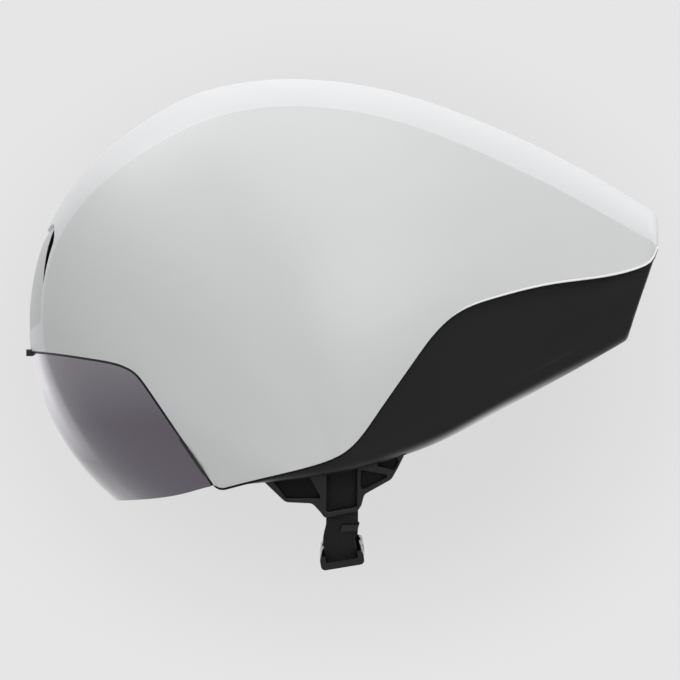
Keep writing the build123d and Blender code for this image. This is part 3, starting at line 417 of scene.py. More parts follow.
def trimmed(place, keep, along, across):
    """Points, faces and grid places of place(u, v) where keep is above zero. A corner outside is slid along
    its grid line to where keep is zero, and a face that still has a corner outside is left out."""
    u, v = np.meshgrid(along, across, indexing="ij")
    points = place(u, v)
    inside = keep(points) > 0
    nearest = np.full(u.shape, np.inf)
    new_u, new_v = u.copy(), v.copy()
    for axis, step in ((0, 1), (0, -1), (1, 1), (1, -1)):
        beside = np.roll(inside, step, axis)
        edge = [slice(None), slice(None)]
        edge[axis] = 0 if step == 1 else -1
        beside[tuple(edge)] = False
        spots = np.nonzero(~inside & beside)
        if not len(spots[0]):
            continue
        from_u, from_v = np.roll(u, step, axis)[spots], np.roll(v, step, axis)[spots]
        to_u, to_v = u[spots], v[spots]
        low, high = np.zeros(len(from_u)), np.ones(len(from_u))
        for _ in range(trim_halvings):
            middle = (low + high) / 2
            kept = keep(place(from_u + (to_u - from_u) * middle, from_v + (to_v - from_v) * middle)) > 0
            low, high = np.where(kept, middle, low), np.where(kept, high, middle)
        slid_u, slid_v = from_u + (to_u - from_u) * low, from_v + (to_v - from_v) * low
        moved = np.linalg.norm(place(slid_u, slid_v) - points[spots], axis=-1)
        better = moved < nearest[spots]
        chosen = tuple(s[better] for s in spots)
        nearest[chosen] = moved[better]
        new_u[chosen], new_v[chosen] = slid_u[better], slid_v[better]
    used = (inside | np.isfinite(nearest)).ravel()
    points = place(new_u, new_v).reshape(-1, 3)
    cells = grid_faces(*u.shape)
    count = used[cells].sum(1)
    some = inside.ravel()[cells].any(1)
    whole = cells[(count == 4) & some]
    corner = cells[(count == 3) & some]
    corner = corner[used[corner]].reshape(-1, 3)
    kept = np.unique(np.r_[whole.ravel(), corner.ravel()])
    number = np.zeros(len(points), int)
    number[kept] = np.arange(len(kept))
    return points[kept], [number[whole], number[corner]], np.stack([new_u, new_v], -1).reshape(-1, 2)[kept]


def corner_ways(points, faces):
    """Mean outward direction at each point, from the faces round it weighted by their size."""
    ways = np.zeros_like(points)
    for group in faces:
        if len(group):
            size = np.cross(points[group[:, 2]] - points[group[:, 0]], points[group[:, -1]] - points[group[:, 1]])
            np.add.at(ways, group.ravel(), np.repeat(size, group.shape[1], axis=0))
    return unit(ways)


def walled(points, faces, wall, inner=None):
    """A closed wall: the face side, a copy of it moved in along the directions or given, and a strip between."""
    count = len(points)
    both = np.vstack([points, points - corner_ways(points, faces) * wall if inner is None else inner])
    groups = [f.tolist() for f in faces] + [(f[:, ::-1] + count).tolist() for f in faces]
    runs = np.vstack([np.stack([f, np.roll(f, -1, axis=1)], -1).reshape(-1, 2) for f in faces if len(f)])
    code = runs[:, 0] * count + runs[:, 1]
    back = runs[:, 1] * count + runs[:, 0]
    rim = runs[~np.isin(code, back)]
    strip = np.stack([rim[:, 1], rim[:, 0], rim[:, 0] + count, rim[:, 1] + count], 1).tolist()
    return both, sum(groups, []) + strip


def steps(*stops):
    """Values from the first stop to the last, with (stop, count) for each run between."""
    values = [np.array([stops[0]])]
    low = stops[0]
    for high, count in stops[1:]:
        values.append(np.linspace(low, high, count + 1)[1:])
        low = high
    return np.concatenate(values)


# White shell: a thin painted polycarbonate skin over the foam. Its crown stands a little proud between
# two creases, it has a vent at the brow, and its lower edge laps over the black shell.

shell_wall = 0.002
vent_half_width, vent_top, vent_shoulder, vent_foot = 0.025, 0.0525, 0.0555, 0.003
vent_slit, vent_slit_end = 0.0046, 0.0245
vent_peak_share, vent_corner_share = 0.6, 1 / 5
foot_radius, tail_radius = 0.004, 0.0045
pearl_white = (0.80, 0.805, 0.81)


def grainy(name, colour, roughness, grain, depth, shift=0.06, coat=0.0, coat_roughness=0.1, specular=0.5, metallic=0.0):
    """A plastic or paint finish: fine bumps from noise, and soft patches a shade lighter and darker."""
    material = bpy.data.materials.new(name)
    material.use_nodes = True
    tree = material.node_tree
    shader = tree.nodes["Principled BSDF"]
    for socket, value in (("Roughness", roughness), ("Coat Weight", coat), ("Coat Roughness", coat_roughness),
                          ("Specular IOR Level", specular), ("Metallic", metallic)):
        shader.inputs[socket].default_value = value
    where = add_node(tree, "TexCoord").outputs["Object"]
    patches = add_node(tree, "TexNoise", {"Vector": where, "Scale": 14.0, "Detail": 2.0})
    darker, lighter = (tuple(min(c * (1 + way * shift), 1) for c in colour) + (1,) for way in (-1, 1))
    tones = add_ramp(tree, patches.outputs["Fac"], (0.3, darker), (0.7, lighter))
    grains = add_node(tree, "TexNoise", {"Vector": where, "Scale": grain, "Detail": 3.0})
    bump = add_node(tree, "Bump", {"Height": grains.outputs["Fac"], "Distance": depth, "Strength": 1.0})
    tree.links.new(tones, shader.inputs["Base Color"])
    tree.links.new(bump.outputs["Normal"], shader.inputs["Normal"])
    return material


def opened(material):
    """A finish's node tree, its shader and the output that gives the shader its colour."""
    shader = material.node_tree.nodes["Principled BSDF"]
    return material.node_tree, shader, shader.inputs["Base Color"].links[0].from_socket


side_grey = (0.60, 0.605, 0.603)


def crown_paint():
    """White paint that is brighter on the crown, darker towards the creases as painted shade, and greyer on the sides,
    by the crown attribute.
    """
    material = grainy("white_paint", pearl_white, 0.46, grain=500, depth=0.000004, shift=0.01, coat=0.25,
                      coat_roughness=0.32)
    tree, shader, tones = opened(material)
    crown = add_node(tree, "Attribute", attribute_name="crown").outputs["Fac"]
    tint = tuple(s / w for s, w in zip(side_grey, pearl_white)) + (1,)
    side = blended(tree, reckon(tree, "SUBTRACT", 1.0, crown), tones, tint, "MULTIPLY")
    tree.links.new(side, shader.inputs["Base Color"])
    return material


white_paint = crown_paint()
# How much the crown darkens towards the creases, a painted shade, and how soft the crease's edge is.
crown_shade_to_creases, crease_blur = 0.58, 0.01


def mark_crown(piece, ways):
    """Stores the crown attribute on both wall faces: one along the middle, less towards the creases, which paints shade
    there, and zero on the sides."""
    off = np.abs(ways[:, 1] - 0.5) / (0.5 - crease_left)
    share = np.clip((1 + crease_blur - off) / crease_blur, 0, 1) * (1 - crown_shade_to_creases * np.clip(off, 0, 1) ** 1.5)
    spare = len(piece.data.vertices) - 2 * len(share)
    values = np.r_[share, share, np.zeros(spare)].astype(np.float32)
    piece.data.attributes.new("crown", "FLOAT", "POINT").data.foreach_set("value", values)


def vent_loop(side_in, slit):
    """Front view of the vent's opening in Y and Z. The slit takes its wedge off both sides."""
    half, foot, top = vent_half_width - side_in, vent_foot + side_in, vent_top - side_in
    corner = vent_foot + vent_half_width * vent_corner_share + side_in
    peak = (half * vent_peak_share - slit / 2, vent_shoulder - side_in)
    dome = curve_through([(0, top), peak, (half - slit, vent_top - vent_slit)], 16)
    foot_arc = curve_through([(half, corner), (0, foot), (-half, corner)], 24)
    right = np.vstack([dome, (half, vent_slit_end)])
    return np.vstack([right, foot_arc, right[::-1] * (-1, 1)])[:-1]


below_border = under_border(0)
round_visor = visor_loop(0)
round_vent = vent_loop(0, 0)
vent_behind = -0.06
shell_end = ((tail_reach, 0), 0)


def shell_keep(points):
    """Above the lower edge, off the visor, in front of the tail's end and off the vent's opening."""
    side = points[..., [0, 2]]
    below, before = line_gap(below_border, side), line_gap(round_visor, side)
    corner = foot_radius - np.hypot(np.maximum(foot_radius - below, 0), np.maximum(foot_radius - before, 0))
    gap = np.minimum(np.minimum(below, before), corner)
    gap = np.minimum(gap, tail_gap(points, *shell_end))
    vent = np.where(points[..., 0] < vent_behind, line_gap(round_vent, points[..., 1:]), 1.0)
    return np.minimum(gap, vent)


shell_ribs = steps(0.0, (2, 34), (6, 110), (10, 70), (13, 150))
crease_step = 0.0012
shell_round = steps(0.02, (crease_left - crease_step, 74), (crease_left, 1), (crease_left + 0.004, 2),
                    (crease_right - 0.004, 44), (crease_right, 2), (crease_right + crease_step, 1), (0.98, 74))
points, faces, shell_ways = trimmed(ended(skin_points, *shell_end, tail_radius), shell_keep, shell_ribs, shell_round)
shell_skin, shell_parts = points, walled(points, faces, shell_wall)
end_near = 2e-5


def end_rows(points, foot, lean, count):
    """Levels and half widths of a tail end's rim, from the points where the gap to the end is nought."""
    rim = points[(np.abs(tail_gap(points, foot, lean)) < end_near) & (points[:, 1] <= 1e-6)]
    rim = rim[np.argsort(rim[:, 2])]
    level = np.linspace(rim[0, 2], rim[-1, 2], count)
    return level, np.interp(level, rim[:, 2], -rim[:, 1])


def end_place(level, half, foot, lean):
    """A place function for a tail end: up its rim's levels, across between its rim's sides, on the round end."""
    def place(up, across):
        z = np.interp(up, np.linspace(0, 1, len(level)), level)
        y = (across * 2 - 1) * np.interp(up, np.linspace(0, 1, len(level)), half)
        drop = tail_round - np.sqrt(tail_round**2 - y**2)
        x = foot[0] + ((z - foot[1]) * np.sin(lean) - drop) / np.cos(lean)
        return np.stack([x, y, z], -1)
    return place


def end_wall(points, end, keep, rows, up, across, wall):
    """The closed wall of a tail end, fitted to the rim that the points of the sides have there."""
    place = end_place(*end_rows(points, *end, rows), *end)
    spots, faces, _ = trimmed(place, keep, np.linspace(0, 1, up), np.linspace(0, 1, across))
    return walled(spots, [f[:, ::-1] for f in faces], wall)


def everywhere(points):
    """One for every point, so that nothing is trimmed."""
    return np.ones(points.shape[:-1])


def together(first, second):
    """Two closed sets of points and faces as one."""
    count = len(first[0])
    return np.vstack([first[0], second[0]]), list(first[1]) + [[i + count for i in face] for face in second[1]]


shell_cap = end_wall(shell_skin, shell_end, everywhere, 60, 24, 41, shell_wall)
white_shell = new_piece("white_shell", *together(shell_parts, shell_cap), white_paint)
mark_crown(white_shell, shell_ways)
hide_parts("upper_shell")
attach(white_shell, "shell")

# Vent insert: a wide island of the same white paint, set a little under the skin, that leaves a dark slit for air at
# each side near its top. Its face takes the sides' grey as painted shade, and its inner face and walls are black as
# painted shadow in the slits.

vent_sink, vent_insert_wall, vent_fit = 0.0011, 0.0015, 0.0002
shown_slit = 0.0068
dip_level, dip_height = 0.044, 0.012
sink_all_over, sink_at_top, sink_side_loss, sink_probe = 0.28, 1.9, 0.6, 0.003
island_edge = vent_loop(vent_fit, shown_slit)
opening_edge = vent_loop(vent_fit, 0)


def island_points(rib, round_way):
    """The outside sunk a little all over, and more towards the top, where the middle sinks most."""
    outside = skin_points(rib, round_way)
    side = np.abs(outside[..., 1]) / vent_half_width
    top = np.clip((outside[..., 2] - dip_level) / dip_height, 0, 1)
    sink = vent_sink * (sink_all_over + sink_at_top * top**2 * (1 - sink_side_loss * side))
    return outside + (skin_points(rib, round_way, sink_probe) - outside) * (sink / sink_probe)[..., None]


def island_keep(points):
    """Inside the island's own outline and inside the shell's opening."""
    front = points[..., 1:]
    return np.maximum(line_gap(island_edge, front), line_gap(opening_edge, front)) * -1


points, faces, ways = trimmed(island_points, island_keep, steps(1.4, (4.6, 110)), steps(0.28, (0.72, 110)))
vent_island = new_piece("vent_island", *walled(points, faces, vent_insert_wall), white_paint)
# Painted shade: the island's face gets the sides' grey, not the crown's white.
mark_crown(vent_island, np.zeros_like(ways))
# Painted shadow: the island's inner face and side walls are near black, so that the slits show dark.
vent_shadow = grainy("vent_shadow", (0.006, 0.006, 0.006), 0.8, grain=600, depth=0.00001, specular=0.1)
vent_island.data.materials.append(vent_shadow)
shadowed_faces = np.arange(len(vent_island.data.polygons)) >= sum(len(f) for f in faces)
vent_island.data.polygons.foreach_set("material_index", shadowed_faces.astype(np.int32))
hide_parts("vent_insert")
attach(vent_island, "shell")

# Rolled edge: the white shell's lower edge is turned out into a thin polished bead that catches the light.

lip_radius, lip_stand = 0.00055, 0.00015
lip_white = (0.88, 0.88, 0.885)
lip_start, lip_growth = 0.035, 0.06
path_step, on_edge, bead_sides = 0.0008, 3e-5, 10
foot_end, tail_start, middle_half = foot_radius * 0.99, tail_reach - tail_radius * 1.2, 0.004


def skin_half(x, z):
    """Half width of the outside at places of the side view: the rib from the angle, then the place
    down the rib's side by halving."""
    crown = side_place(ribs[:, :2]) - rib_root
    angles = np.unwrap(np.arctan2(crown[:, 1], crown[:, 0])[::-1])
    angle = np.arctan2(z - rib_root[1], x - rib_root[0])
    angle = np.where(angle < -1, angle + 2 * np.pi, angle)
    rib = np.interp(angle, angles, np.arange(len(ribs))[::-1])
    run = np.hypot(x - rib_root[0], z - rib_root[1])
    low, high = np.full(np.shape(x), crease_right), np.ones(np.shape(x))
    for _ in range(half_halvings):
        middle = (low + high) / 2
        spot = skin_points(rib, middle)
        far = np.hypot(spot[..., 0] - rib_root[0], spot[..., 2] - rib_root[1]) > run
        low, high = np.where(far, middle, low), np.where(far, high, middle)
    return skin_points(rib, low)[..., 1]


def swept(path, across, up, profile):
    """A closed profile carried along a path with flat ends: each ring is path + across * a + up * b."""
    count, sides = len(path), np.shape(profile)[-2]
    profile = np.broadcast_to(profile, (count, sides, 2))
    points = path[:, None] + across[:, None] * profile[..., :1] + up[:, None] * profile[..., 1:]
    ring, side = np.meshgrid(np.arange(count - 1), np.arange(sides), indexing="ij")
    beside, last = (side + 1) % sides, (count - 1) * sides
    first, after = ring * sides, (ring + 1) * sides
    quads = np.stack([first + side, first + beside, after + beside, after + side], -1)
    faces = quads.reshape(-1, 4).tolist() + [list(range(sides))[::-1], list(range(last, last + sides))]
    return points.reshape(-1, 3), faces


def outward(points, faces):
    """Turns every face round if the closed form that they make has a negative volume."""
    volume = sum(np.dot(points[f[0]], np.cross(points[f[i]], points[f[i + 1]]))
                 for f in faces for i in range(1, len(f) - 1))
    return (points, faces) if volume > 0 else (points, [f[::-1] for f in faces])


def tube(path, radius):
    """A round bead along a path, thinned to a point at both ends."""
    path = np.asarray(path, float)
    along = unit(np.gradient(path, axis=0))
    across = unit(np.cross(along, (0.0, 0.0, 1.0)))
    from_end = np.minimum(np.arange(len(path)), np.arange(len(path))[::-1])
    thin = radius * np.sqrt(np.clip(from_end / 5 + 0.02, 0, 1))
    turn = np.linspace(0, 2 * np.pi, bead_sides, endpoint=False)
    profile = thin[:, None, None] * np.stack([np.cos(turn), np.sin(turn)], -1)
    return outward(*swept(path, across, np.cross(along, across), profile))


def evened(path, step):
    """The same path with its points at one distance along it."""
    path = np.asarray(path, float)
    run = np.r_[0, np.cumsum(np.linalg.norm(np.diff(path, axis=0), axis=1))]
    spots = np.linspace(0, run[-1], int(run[-1] / step) + 2)
    return np.stack([np.interp(spots, run, path[:, i]) for i in range(path.shape[1])], -1)


def edge_run(raised, out):
    """The shell's lower edge from the visor's foot round the tail to the other foot, raised and moved out."""
    below = line_gap(below_border, shell_skin[:, [0, 2]])
    on_rim = (np.abs(shell_keep(shell_skin)) < on_edge) & (below < foot_end) & (shell_skin[:, 1] < 0)
    rim = shell_skin[on_rim & ((shell_skin[:, 0] < tail_reach - tail_radius) | (np.abs(below) < on_edge))]
    rim = evened(rim[np.argsort(rim[:, 0])], path_step)
    rim = np.vstack([rim, rim[::-1] * other_hand])
    rearward = np.where(rim[:, 0] > tail_start, 1.0, 0.0)
    sideways = np.where(np.abs(rim[:, 1]) > middle_half, np.sign(rim[:, 1]), 0.0)
    side = unit(np.stack([rearward, sideways, np.zeros(len(rim))], -1))
    return evened(rim + side * out + (0, 0, raised), path_step)


lip_path = edge_run(lip_radius, lip_stand - lip_radius)
lip_share = np.clip((lip_path[:, 0] - lip_start) / lip_growth, 0, 1) ** 1.2
lip_paint = grainy("lip_paint", lip_white, 0.25, grain=900, depth=0.000002, shift=0.01, coat=0.6, coat_roughness=0.08)
rolled_edge = new_piece("rolled_edge", *tube(lip_path, lip_radius * np.maximum(lip_share, 0.1)), lip_paint)
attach(rolled_edge, "shell")

# Painted shadow: a thin black cord that lies in the joint under the white shell's edge, from one foot of the visor
# round the tail to the other, standing for the dark shadow line there.

# The cord is dark as a shadow line, not a rubber seal.
shadow_cord_radius = 0.0006
shadow_cord_black = grainy("shadow_cord_black", (0.004, 0.004, 0.004), 0.7, grain=900, depth=0.00001, shift=0.1, specular=0.15)
shadow_cord = new_piece("shadow_cord", *tube(edge_run(-shadow_cord_radius * 0.9, -shadow_cord_radius), shadow_cord_radius), shadow_cord_black)
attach(shadow_cord, "shell")

# Visor: one curved polycarbonate lens with a mirrored lavender coat, flush with the shell. It sits on a
# black frame whose rim shows as a dark line, and a small nub at the brow is there to pull it off by.

lens_wall, gasket_width, lens_gap = 0.0018, 0.0016, 0.0003
lens_lap, lens_proud = 0.0008, 0.00008
bottom_edge = curve_through(side_place(bottom_shares), 90)
over_bottom = np.vstack([bottom_edge, (0.3, bottom_edge[-1, 1]), (0.3, -far_out), (-far_out, -far_out),
                         (-far_out, bottom_edge[0, 1])])
lens_edge = visor_loop(gasket_width + lens_gap - lens_lap)


def lens_keep(points):
    """Inside the visor's edge less its gasket, and above the lower edge."""
    side = points[..., [0, 2]]
    return np.minimum(-line_gap(lens_edge, side), line_gap(over_bottom, side))


lens_high, lens_low = (0.228, 0.212, 0.238), (0.118, 0.103, 0.130)
# The colour of the painted highlight along the lens's turned-away edges.
painted_rim_highlight = (0.97, 0.93, 1.0)
fade_low, fade_high = -0.042, -0.008
turned_start, turned_end, under_start, under_end = 0.56, 0.72, -0.58, -0.28


def mirror_finish():
    """The mirrored coat: a dark lavender metal, lighter above, with a painted highlight: it pales where it turns away
    from the eye, though not where it faces down."""
    material = grainy("mirror_coat", lens_low, 0.14, grain=60, depth=0.000002, shift=0.02, coat=0.5,
                      coat_roughness=0.03, metallic=0.9)
    tree, shader, patches = opened(material)
    height = span(tree, axis_value(tree, "TexCoord", "Object", "Z"), fade_low, fade_high)
    lighter = tuple(h / l for h, l in zip(lens_high, lens_low)) + (1,)
    above = blended(tree, 1.0, patches, add_ramp(tree, height, (0, grey(1)), (1, lighter)), "MULTIPLY")
    facing = add_node(tree, "LayerWeight").outputs["Facing"]
    pale = add_ramp(tree, facing, (turned_start, grey(0)), (turned_end, grey(1)), "EASE")
    under = span(tree, axis_value(tree, "NewGeometry", "Normal", "Z"), under_start, under_end)
    rim = blended(tree, reckon(tree, "MULTIPLY", pale, under), above, painted_rim_highlight + (1,))
    tree.links.new(rim, shader.inputs["Base Color"])
    return material


def lens_points(rib, round_way):
    """The outside, a hair proud."""
    return skin_points(rib, round_way, -lens_proud)


mirror_coat = mirror_finish()
points, faces, _ = trimmed(lens_points, lens_keep, steps(0.0, (4.2, 130)), steps(0.02, (0.98, 190)))
mirrored_lens = new_piece("mirrored_lens", *walled(points, faces, lens_wall), mirror_coat)
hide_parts("visor_lens")
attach(mirrored_lens, "visor")

# Lower shell: the black hull behind the ears. Its sides are scooped, its lower edge is rounded, its
# floor is cut out for the head and the fit system, and its tail is cut off short.

hull_step, scoop_depth, hull_edge, hull_tuck, hull_wall, lap = 0.0026, 0.009, 0.009, 0.022, 0.002, 0.005
black_matt = (0.0095, 0.0097, 0.0102)
head_reach, head_half, head_rise, neck_depth, hollow_gap = 0.100, 0.077, 0.097, 0.160, 0.0065
tail_foot, tail_knee = side_place((0.914, -0.012)), side_place((0.9775, 0.258))
hull_end = (tail_foot, np.arctan2(*(tail_knee - tail_foot)))

# Place of the lower edge in the side view, and how much of the scoop and of the tuck each station has.
hull_rows = np.array([
    (-0.330, -0.930, 0.0, 0.00),
    (-0.200, -0.905, 0.0, 0.00),
    (0.070, -0.850, 0.1, 0.00),
    (0.230, -0.770, 0.6, 0.05),
    (0.384, -0.652, 1.0, 0.28),
    (0.549, -0.463, 1.0, 0.55),
    (0.740, -0.234, 0.8, 0.80),
    (0.914, -0.012, 0.5, 0.70),
    (1.100, 0.150, 0.4, 0.60),
])
edge_begins, edge_ends, scoop_levels = 0.62, 0.74, (0.45, 0.8)
place = side_place(hull_rows[:, :2])
border = side_place(border_shares)
border_z = np.interp(place[:, 0], border[:, 0], border[:, 1])
hull_top = border_z + 3 * lap
hull_halves = np.stack([
    skin_half(place[:, 0], np.minimum(hull_top, crown_rise * 0.6)) - hull_step,
    skin_half(place[:, 0], border_z) - hull_step - scoop_depth * hull_rows[:, 2],
    skin_half(place[:, 0], place[:, 1] + hull_edge) - hull_step - hull_tuck * hull_rows[:, 3]], 1)
hull_facts = np.column_stack([place, hull_top, hull_halves])


def hull_points(along, round_way):
    """The hull at a station number and a share of the way from its left top under the floor to its
    right top: a scooped side, a quarter-round edge and a flat floor, mirrored."""
    facts = spline_value(np.arange(len(hull_rows)), hull_facts, along)
    x, low, top, top_half, scoop_half, low_half = np.moveaxis(facts, -1, 0)
    hand = np.where(round_way < 0.5, -1.0, 1.0)
    down = 1 - np.abs(round_way - 0.5) * 2
    drop = top - low - hull_edge
    start, knee, end = (np.stack(spot, -1) for spot in (
        (low_half, low + hull_edge), (low_half, low), (low_half - hull_edge, low)))
    scoop_high, scoop_low = (np.stack([scoop_half, top - drop * share], -1) for share in scoop_levels)
    wall = bezier(np.stack([top_half, top], -1), scoop_high, scoop_low, start, np.clip(down / edge_begins, 0, 1))
    turn = np.clip((down - edge_begins) / (edge_ends - edge_begins), 0, 1)[..., None]
    edge = (1 - turn) ** 2 * start + 2 * (1 - turn) * turn * knee + turn**2 * end
    floor_share = np.clip((down - edge_ends) / (1 - edge_ends), 0, 1)
    floor = np.stack([(low_half - hull_edge) * (1 - floor_share), low], -1)
    half = np.where((down > edge_ends)[..., None], floor, np.where((down > edge_begins)[..., None], edge, wall))
    return np.stack([x, hand * half[..., 0], half[..., 1]], -1)


lap_border = under_border(lap)
hull_fit, end_fit = 0.0003, 0.0004
below_lip = under_border(-hull_fit)
room_x, room_z = np.linspace(-0.06, 0.18, 121), np.linspace(-0.085, 0.08, 84)
room_half = skin_half(*np.meshgrid(room_x, room_z, indexing="ij")) - shell_wall - hull_fit


def inside_shell(points):
    """How far points stand inside the white shell's inner face, from a table of its half widths."""
    u = np.clip((points[..., 0] - room_x[0]) / (room_x[1] - room_x[0]), 0, len(room_x) - 1.001)
    v = np.clip((points[..., 2] - room_z[0]) / (room_z[1] - room_z[0]), 0, len(room_z) - 1.001)
    i, j = u.astype(int), v.astype(int)
    u, v = u - i, v - j
    low = room_half[i, j] * (1 - v) + room_half[i, j + 1] * v
    high = room_half[i + 1, j] * (1 - v) + room_half[i + 1, j + 1] * v
    return low * (1 - u) + high * u - np.abs(points[..., 1])


strap_width, strap_thickness, strap_gap = 0.015, 0.0014, 0.00035
guide_half_span, guide_wall, guide_web = 0.0732, 0.0032, 0.001
guide_toe, guide_lean = np.radians(3.9), np.radians(10)
guide_front, guide_length, guide_top, guide_drop = -0.020, 0.073, -0.058, 0.030
slot_shares = [(-0.015, 1.1), (1.015, 1.1), (1.015, -0.37), (-0.015, 0.03)]
slot_back, slot_face = 0.0032, 0.0036


def guide_flat(shares):
    """Run and drop in metres on the guide's plane from shares of its length and drop."""
    shares = np.asarray(shares, float)
    return np.stack([guide_front + guide_length * shares[..., 0], guide_drop * shares[..., 1] / np.cos(guide_lean)], -1)


def guide_ways(hand):
    """Centre, run, outward and downward directions of the guide's plane, which toes in and leans in."""
    flat = np.cos(guide_lean)
    out = np.array([flat * np.sin(guide_toe), hand * flat * np.cos(guide_toe), -np.sin(guide_lean)])
    run = np.array([np.cos(guide_toe), -hand * np.sin(guide_toe), 0.0])
    down = np.cross(out, run) if hand > 0 else np.cross(run, out)
    return np.array([0, hand * guide_half_span, guide_top]), run, out, down * np.sign(-down[2])


def slot_gap(points, hand):
    """Distance outside the slot that the guide and its webbing go up into."""
    centre, run, out, down = guide_ways(hand)
    from_centre = points - centre
    depth = from_centre @ out
    flat = np.stack([from_centre @ run, from_centre @ down], -1)
    return np.maximum(np.maximum(-slot_back - depth, depth - slot_face), line_gap(guide_flat(slot_shares), flat))


pocket_reach, pocket_half, pocket_front = 0.122, 0.068, 0.075
hull_tail_radius = 0.0012


def hull_keep(points):
    """Under the white edge and its lap, behind the visor, in front of the tail's end, and clear of the
    head's hollow and of the pocket for the fit system."""
    side = points[..., [0, 2]]
    gap = np.minimum(-line_gap(lap_border, side), line_gap(round_visor, side))
    gap = np.minimum(gap, tail_gap(points, *hull_end))
    x, y, z = points[..., 0], points[..., 1], points[..., 2]
    tall = np.where(z > 0, head_rise + hollow_gap, neck_depth)
    across = (x / (head_reach + hollow_gap)) ** 2 + (y / (head_half + hollow_gap)) ** 2
    head = np.sqrt(across + (z / tall) ** 2) - 1
    pocket = np.where(x > pocket_front, np.hypot(x / pocket_reach, y / pocket_half) - 1, 1)
    covered = np.minimum(inside_shell(points), tail_reach - shell_wall - end_fit - x)
    gap = np.minimum(gap, np.maximum(-line_gap(below_lip, side), covered))
    gap = np.minimum(gap, np.minimum(slot_gap(points, -1), slot_gap(points, 1)))
    return np.minimum(gap, np.minimum(head, pocket) * 0.1)


exhaust_half, exhaust_tall, exhaust_level, exhaust_corner = 0.024, 0.0085, 0.0155, 0.004


def off_exhaust(points):
    """Distance outside the rounded opening for the exhaust grille."""
    y = np.abs(points[..., 1]) - exhaust_half + exhaust_corner
    z = np.abs(points[..., 2] - exhaust_level) - exhaust_tall + exhaust_corner
    return np.hypot(np.maximum(y, 0), np.maximum(z, 0)) + np.minimum(np.maximum(y, z), 0) - exhaust_corner


black_shell_paint = grainy("black_shell_paint", black_matt, 0.36, grain=700, depth=0.000006, shift=0.08, specular=0.18)


def painted_edge_highlight(material, level):
    """Paints a highlight on the turned-under lower edge, more in the middle of its length than at the ends: the colour
    turns from paint to a bright grey metal with the facing, the drop and the place, a painted reflection of the floor."""
    tree, shader, tones = opened(material)
    facing = add_node(tree, "LayerWeight").outputs["Facing"]
    drop = axis_value(tree, "NewGeometry", "Normal", "Z")
    place = axis_value(tree, "TexCoord", "Object", "X")
    share = 1.0
    for source, low, high in ((facing, 0.22, 0.80), (drop, -0.25, -0.7), (place, 0.040, 0.090), (place, 0.150, 0.100)):
        share = reckon(tree, "MULTIPLY", share, span(tree, source, low, high))
    tree.links.new(blended(tree, share, tones, grey(level)), shader.inputs["Base Color"])
    tree.links.new(share, shader.inputs["Metallic"])


# Painted highlight along the hull's rounded lower edge.
painted_edge_highlight(black_shell_paint, 0.62)
hull_along = steps(0, (6, 150), (8, 140))
hull_round = steps(0, (0.31, 60), (0.37, 18), (0.63, 50), (0.69, 18), (1, 60))
points, faces, _ = trimmed(ended(hull_points, *hull_end, hull_tail_radius), hull_keep, hull_along, hull_round)
hull_parts = walled(points, [f[:, ::-1] for f in faces], hull_wall)
hull_cap = end_wall(points, hull_end, off_exhaust, 120, 60, 90, hull_wall)
black_shell = new_piece("black_shell", *together(hull_parts, hull_cap), black_shell_paint)
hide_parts("lower_shell")
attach(black_shell, "shell")

# Foam liner: expanded polystyrene moulded inside the shells, charcoal grey, with the fine cells of its
# beads showing wherever it is bare.

foam_grey = (0.030, 0.031, 0.033)


def over_bump(tree, shader, height, depth, strength, **settings):
    """A coarser bump laid over the grain that the shader has."""
    grain = shader.inputs["Normal"].links[0].from_socket
    bump = add_node(tree, "Bump", {"Height": height, "Distance": depth, "Strength": strength, "Normal": grain},
                    **settings)
    tree.links.new(bump.outputs["Normal"], shader.inputs["Normal"])


def cells(tree, scale):
    """Distance from the middle of each cell of a pattern with so many cells a metre."""
    where = add_node(tree, "TexCoord").outputs["Object"]
    return add_node(tree, "TexVoronoi", {"Vector": where, "Scale": scale}).outputs["Distance"]


def beaded(name, colour):
    """Foam of beads: each cell of a pattern is one bead, with a groove round it."""
    material = grainy(name, colour, 0.85, grain=1500, depth=0.00001, shift=0.10, specular=0.2)
    tree, shader, _ = opened(material)
    over_bump(tree, shader, cells(tree, 330.0), 0.0004, 0.7, invert=True)
    return material


def finish_nodes(material, *names):
    """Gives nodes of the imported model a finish."""
    for name in names:
        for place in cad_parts[name].material_slots:
            place.material = material


finish_nodes(beaded("foam_beads", foam_grey), "foam_liner")

# Visor frame, its pull nub and the exhaust grille: moulded black nylon, clipped into the shell's edge.
# Small nickel-plated magnets in the frame and in the lens's bosses hold the lens.

frame_black = grainy("frame_black", (0.016, 0.016, 0.018), 0.38, grain=800, depth=0.000006, shift=0.08, specular=0.3)
finish_nodes(frame_black, "visor_seat", "visor_tab")
grille_black = grainy("grille_black", (0.013, 0.013, 0.014), 0.55, grain=650, depth=0.00001, shift=0.12, specular=0.3)
finish_nodes(grille_black, "exhaust_grille")
magnet_plate = grainy("magnet_plate", (0.56, 0.55, 0.53), 0.24, grain=1200, depth=0.000003, shift=0.05, metallic=1.0)
finish_nodes(magnet_plate, "lens_magnets", "seat_magnets")

# Rear fit system: a sprung nylon yoke on two temple pins carries the housing of the dial. The dial's
# pinion drives two racks, whose arms tighten round the nape.

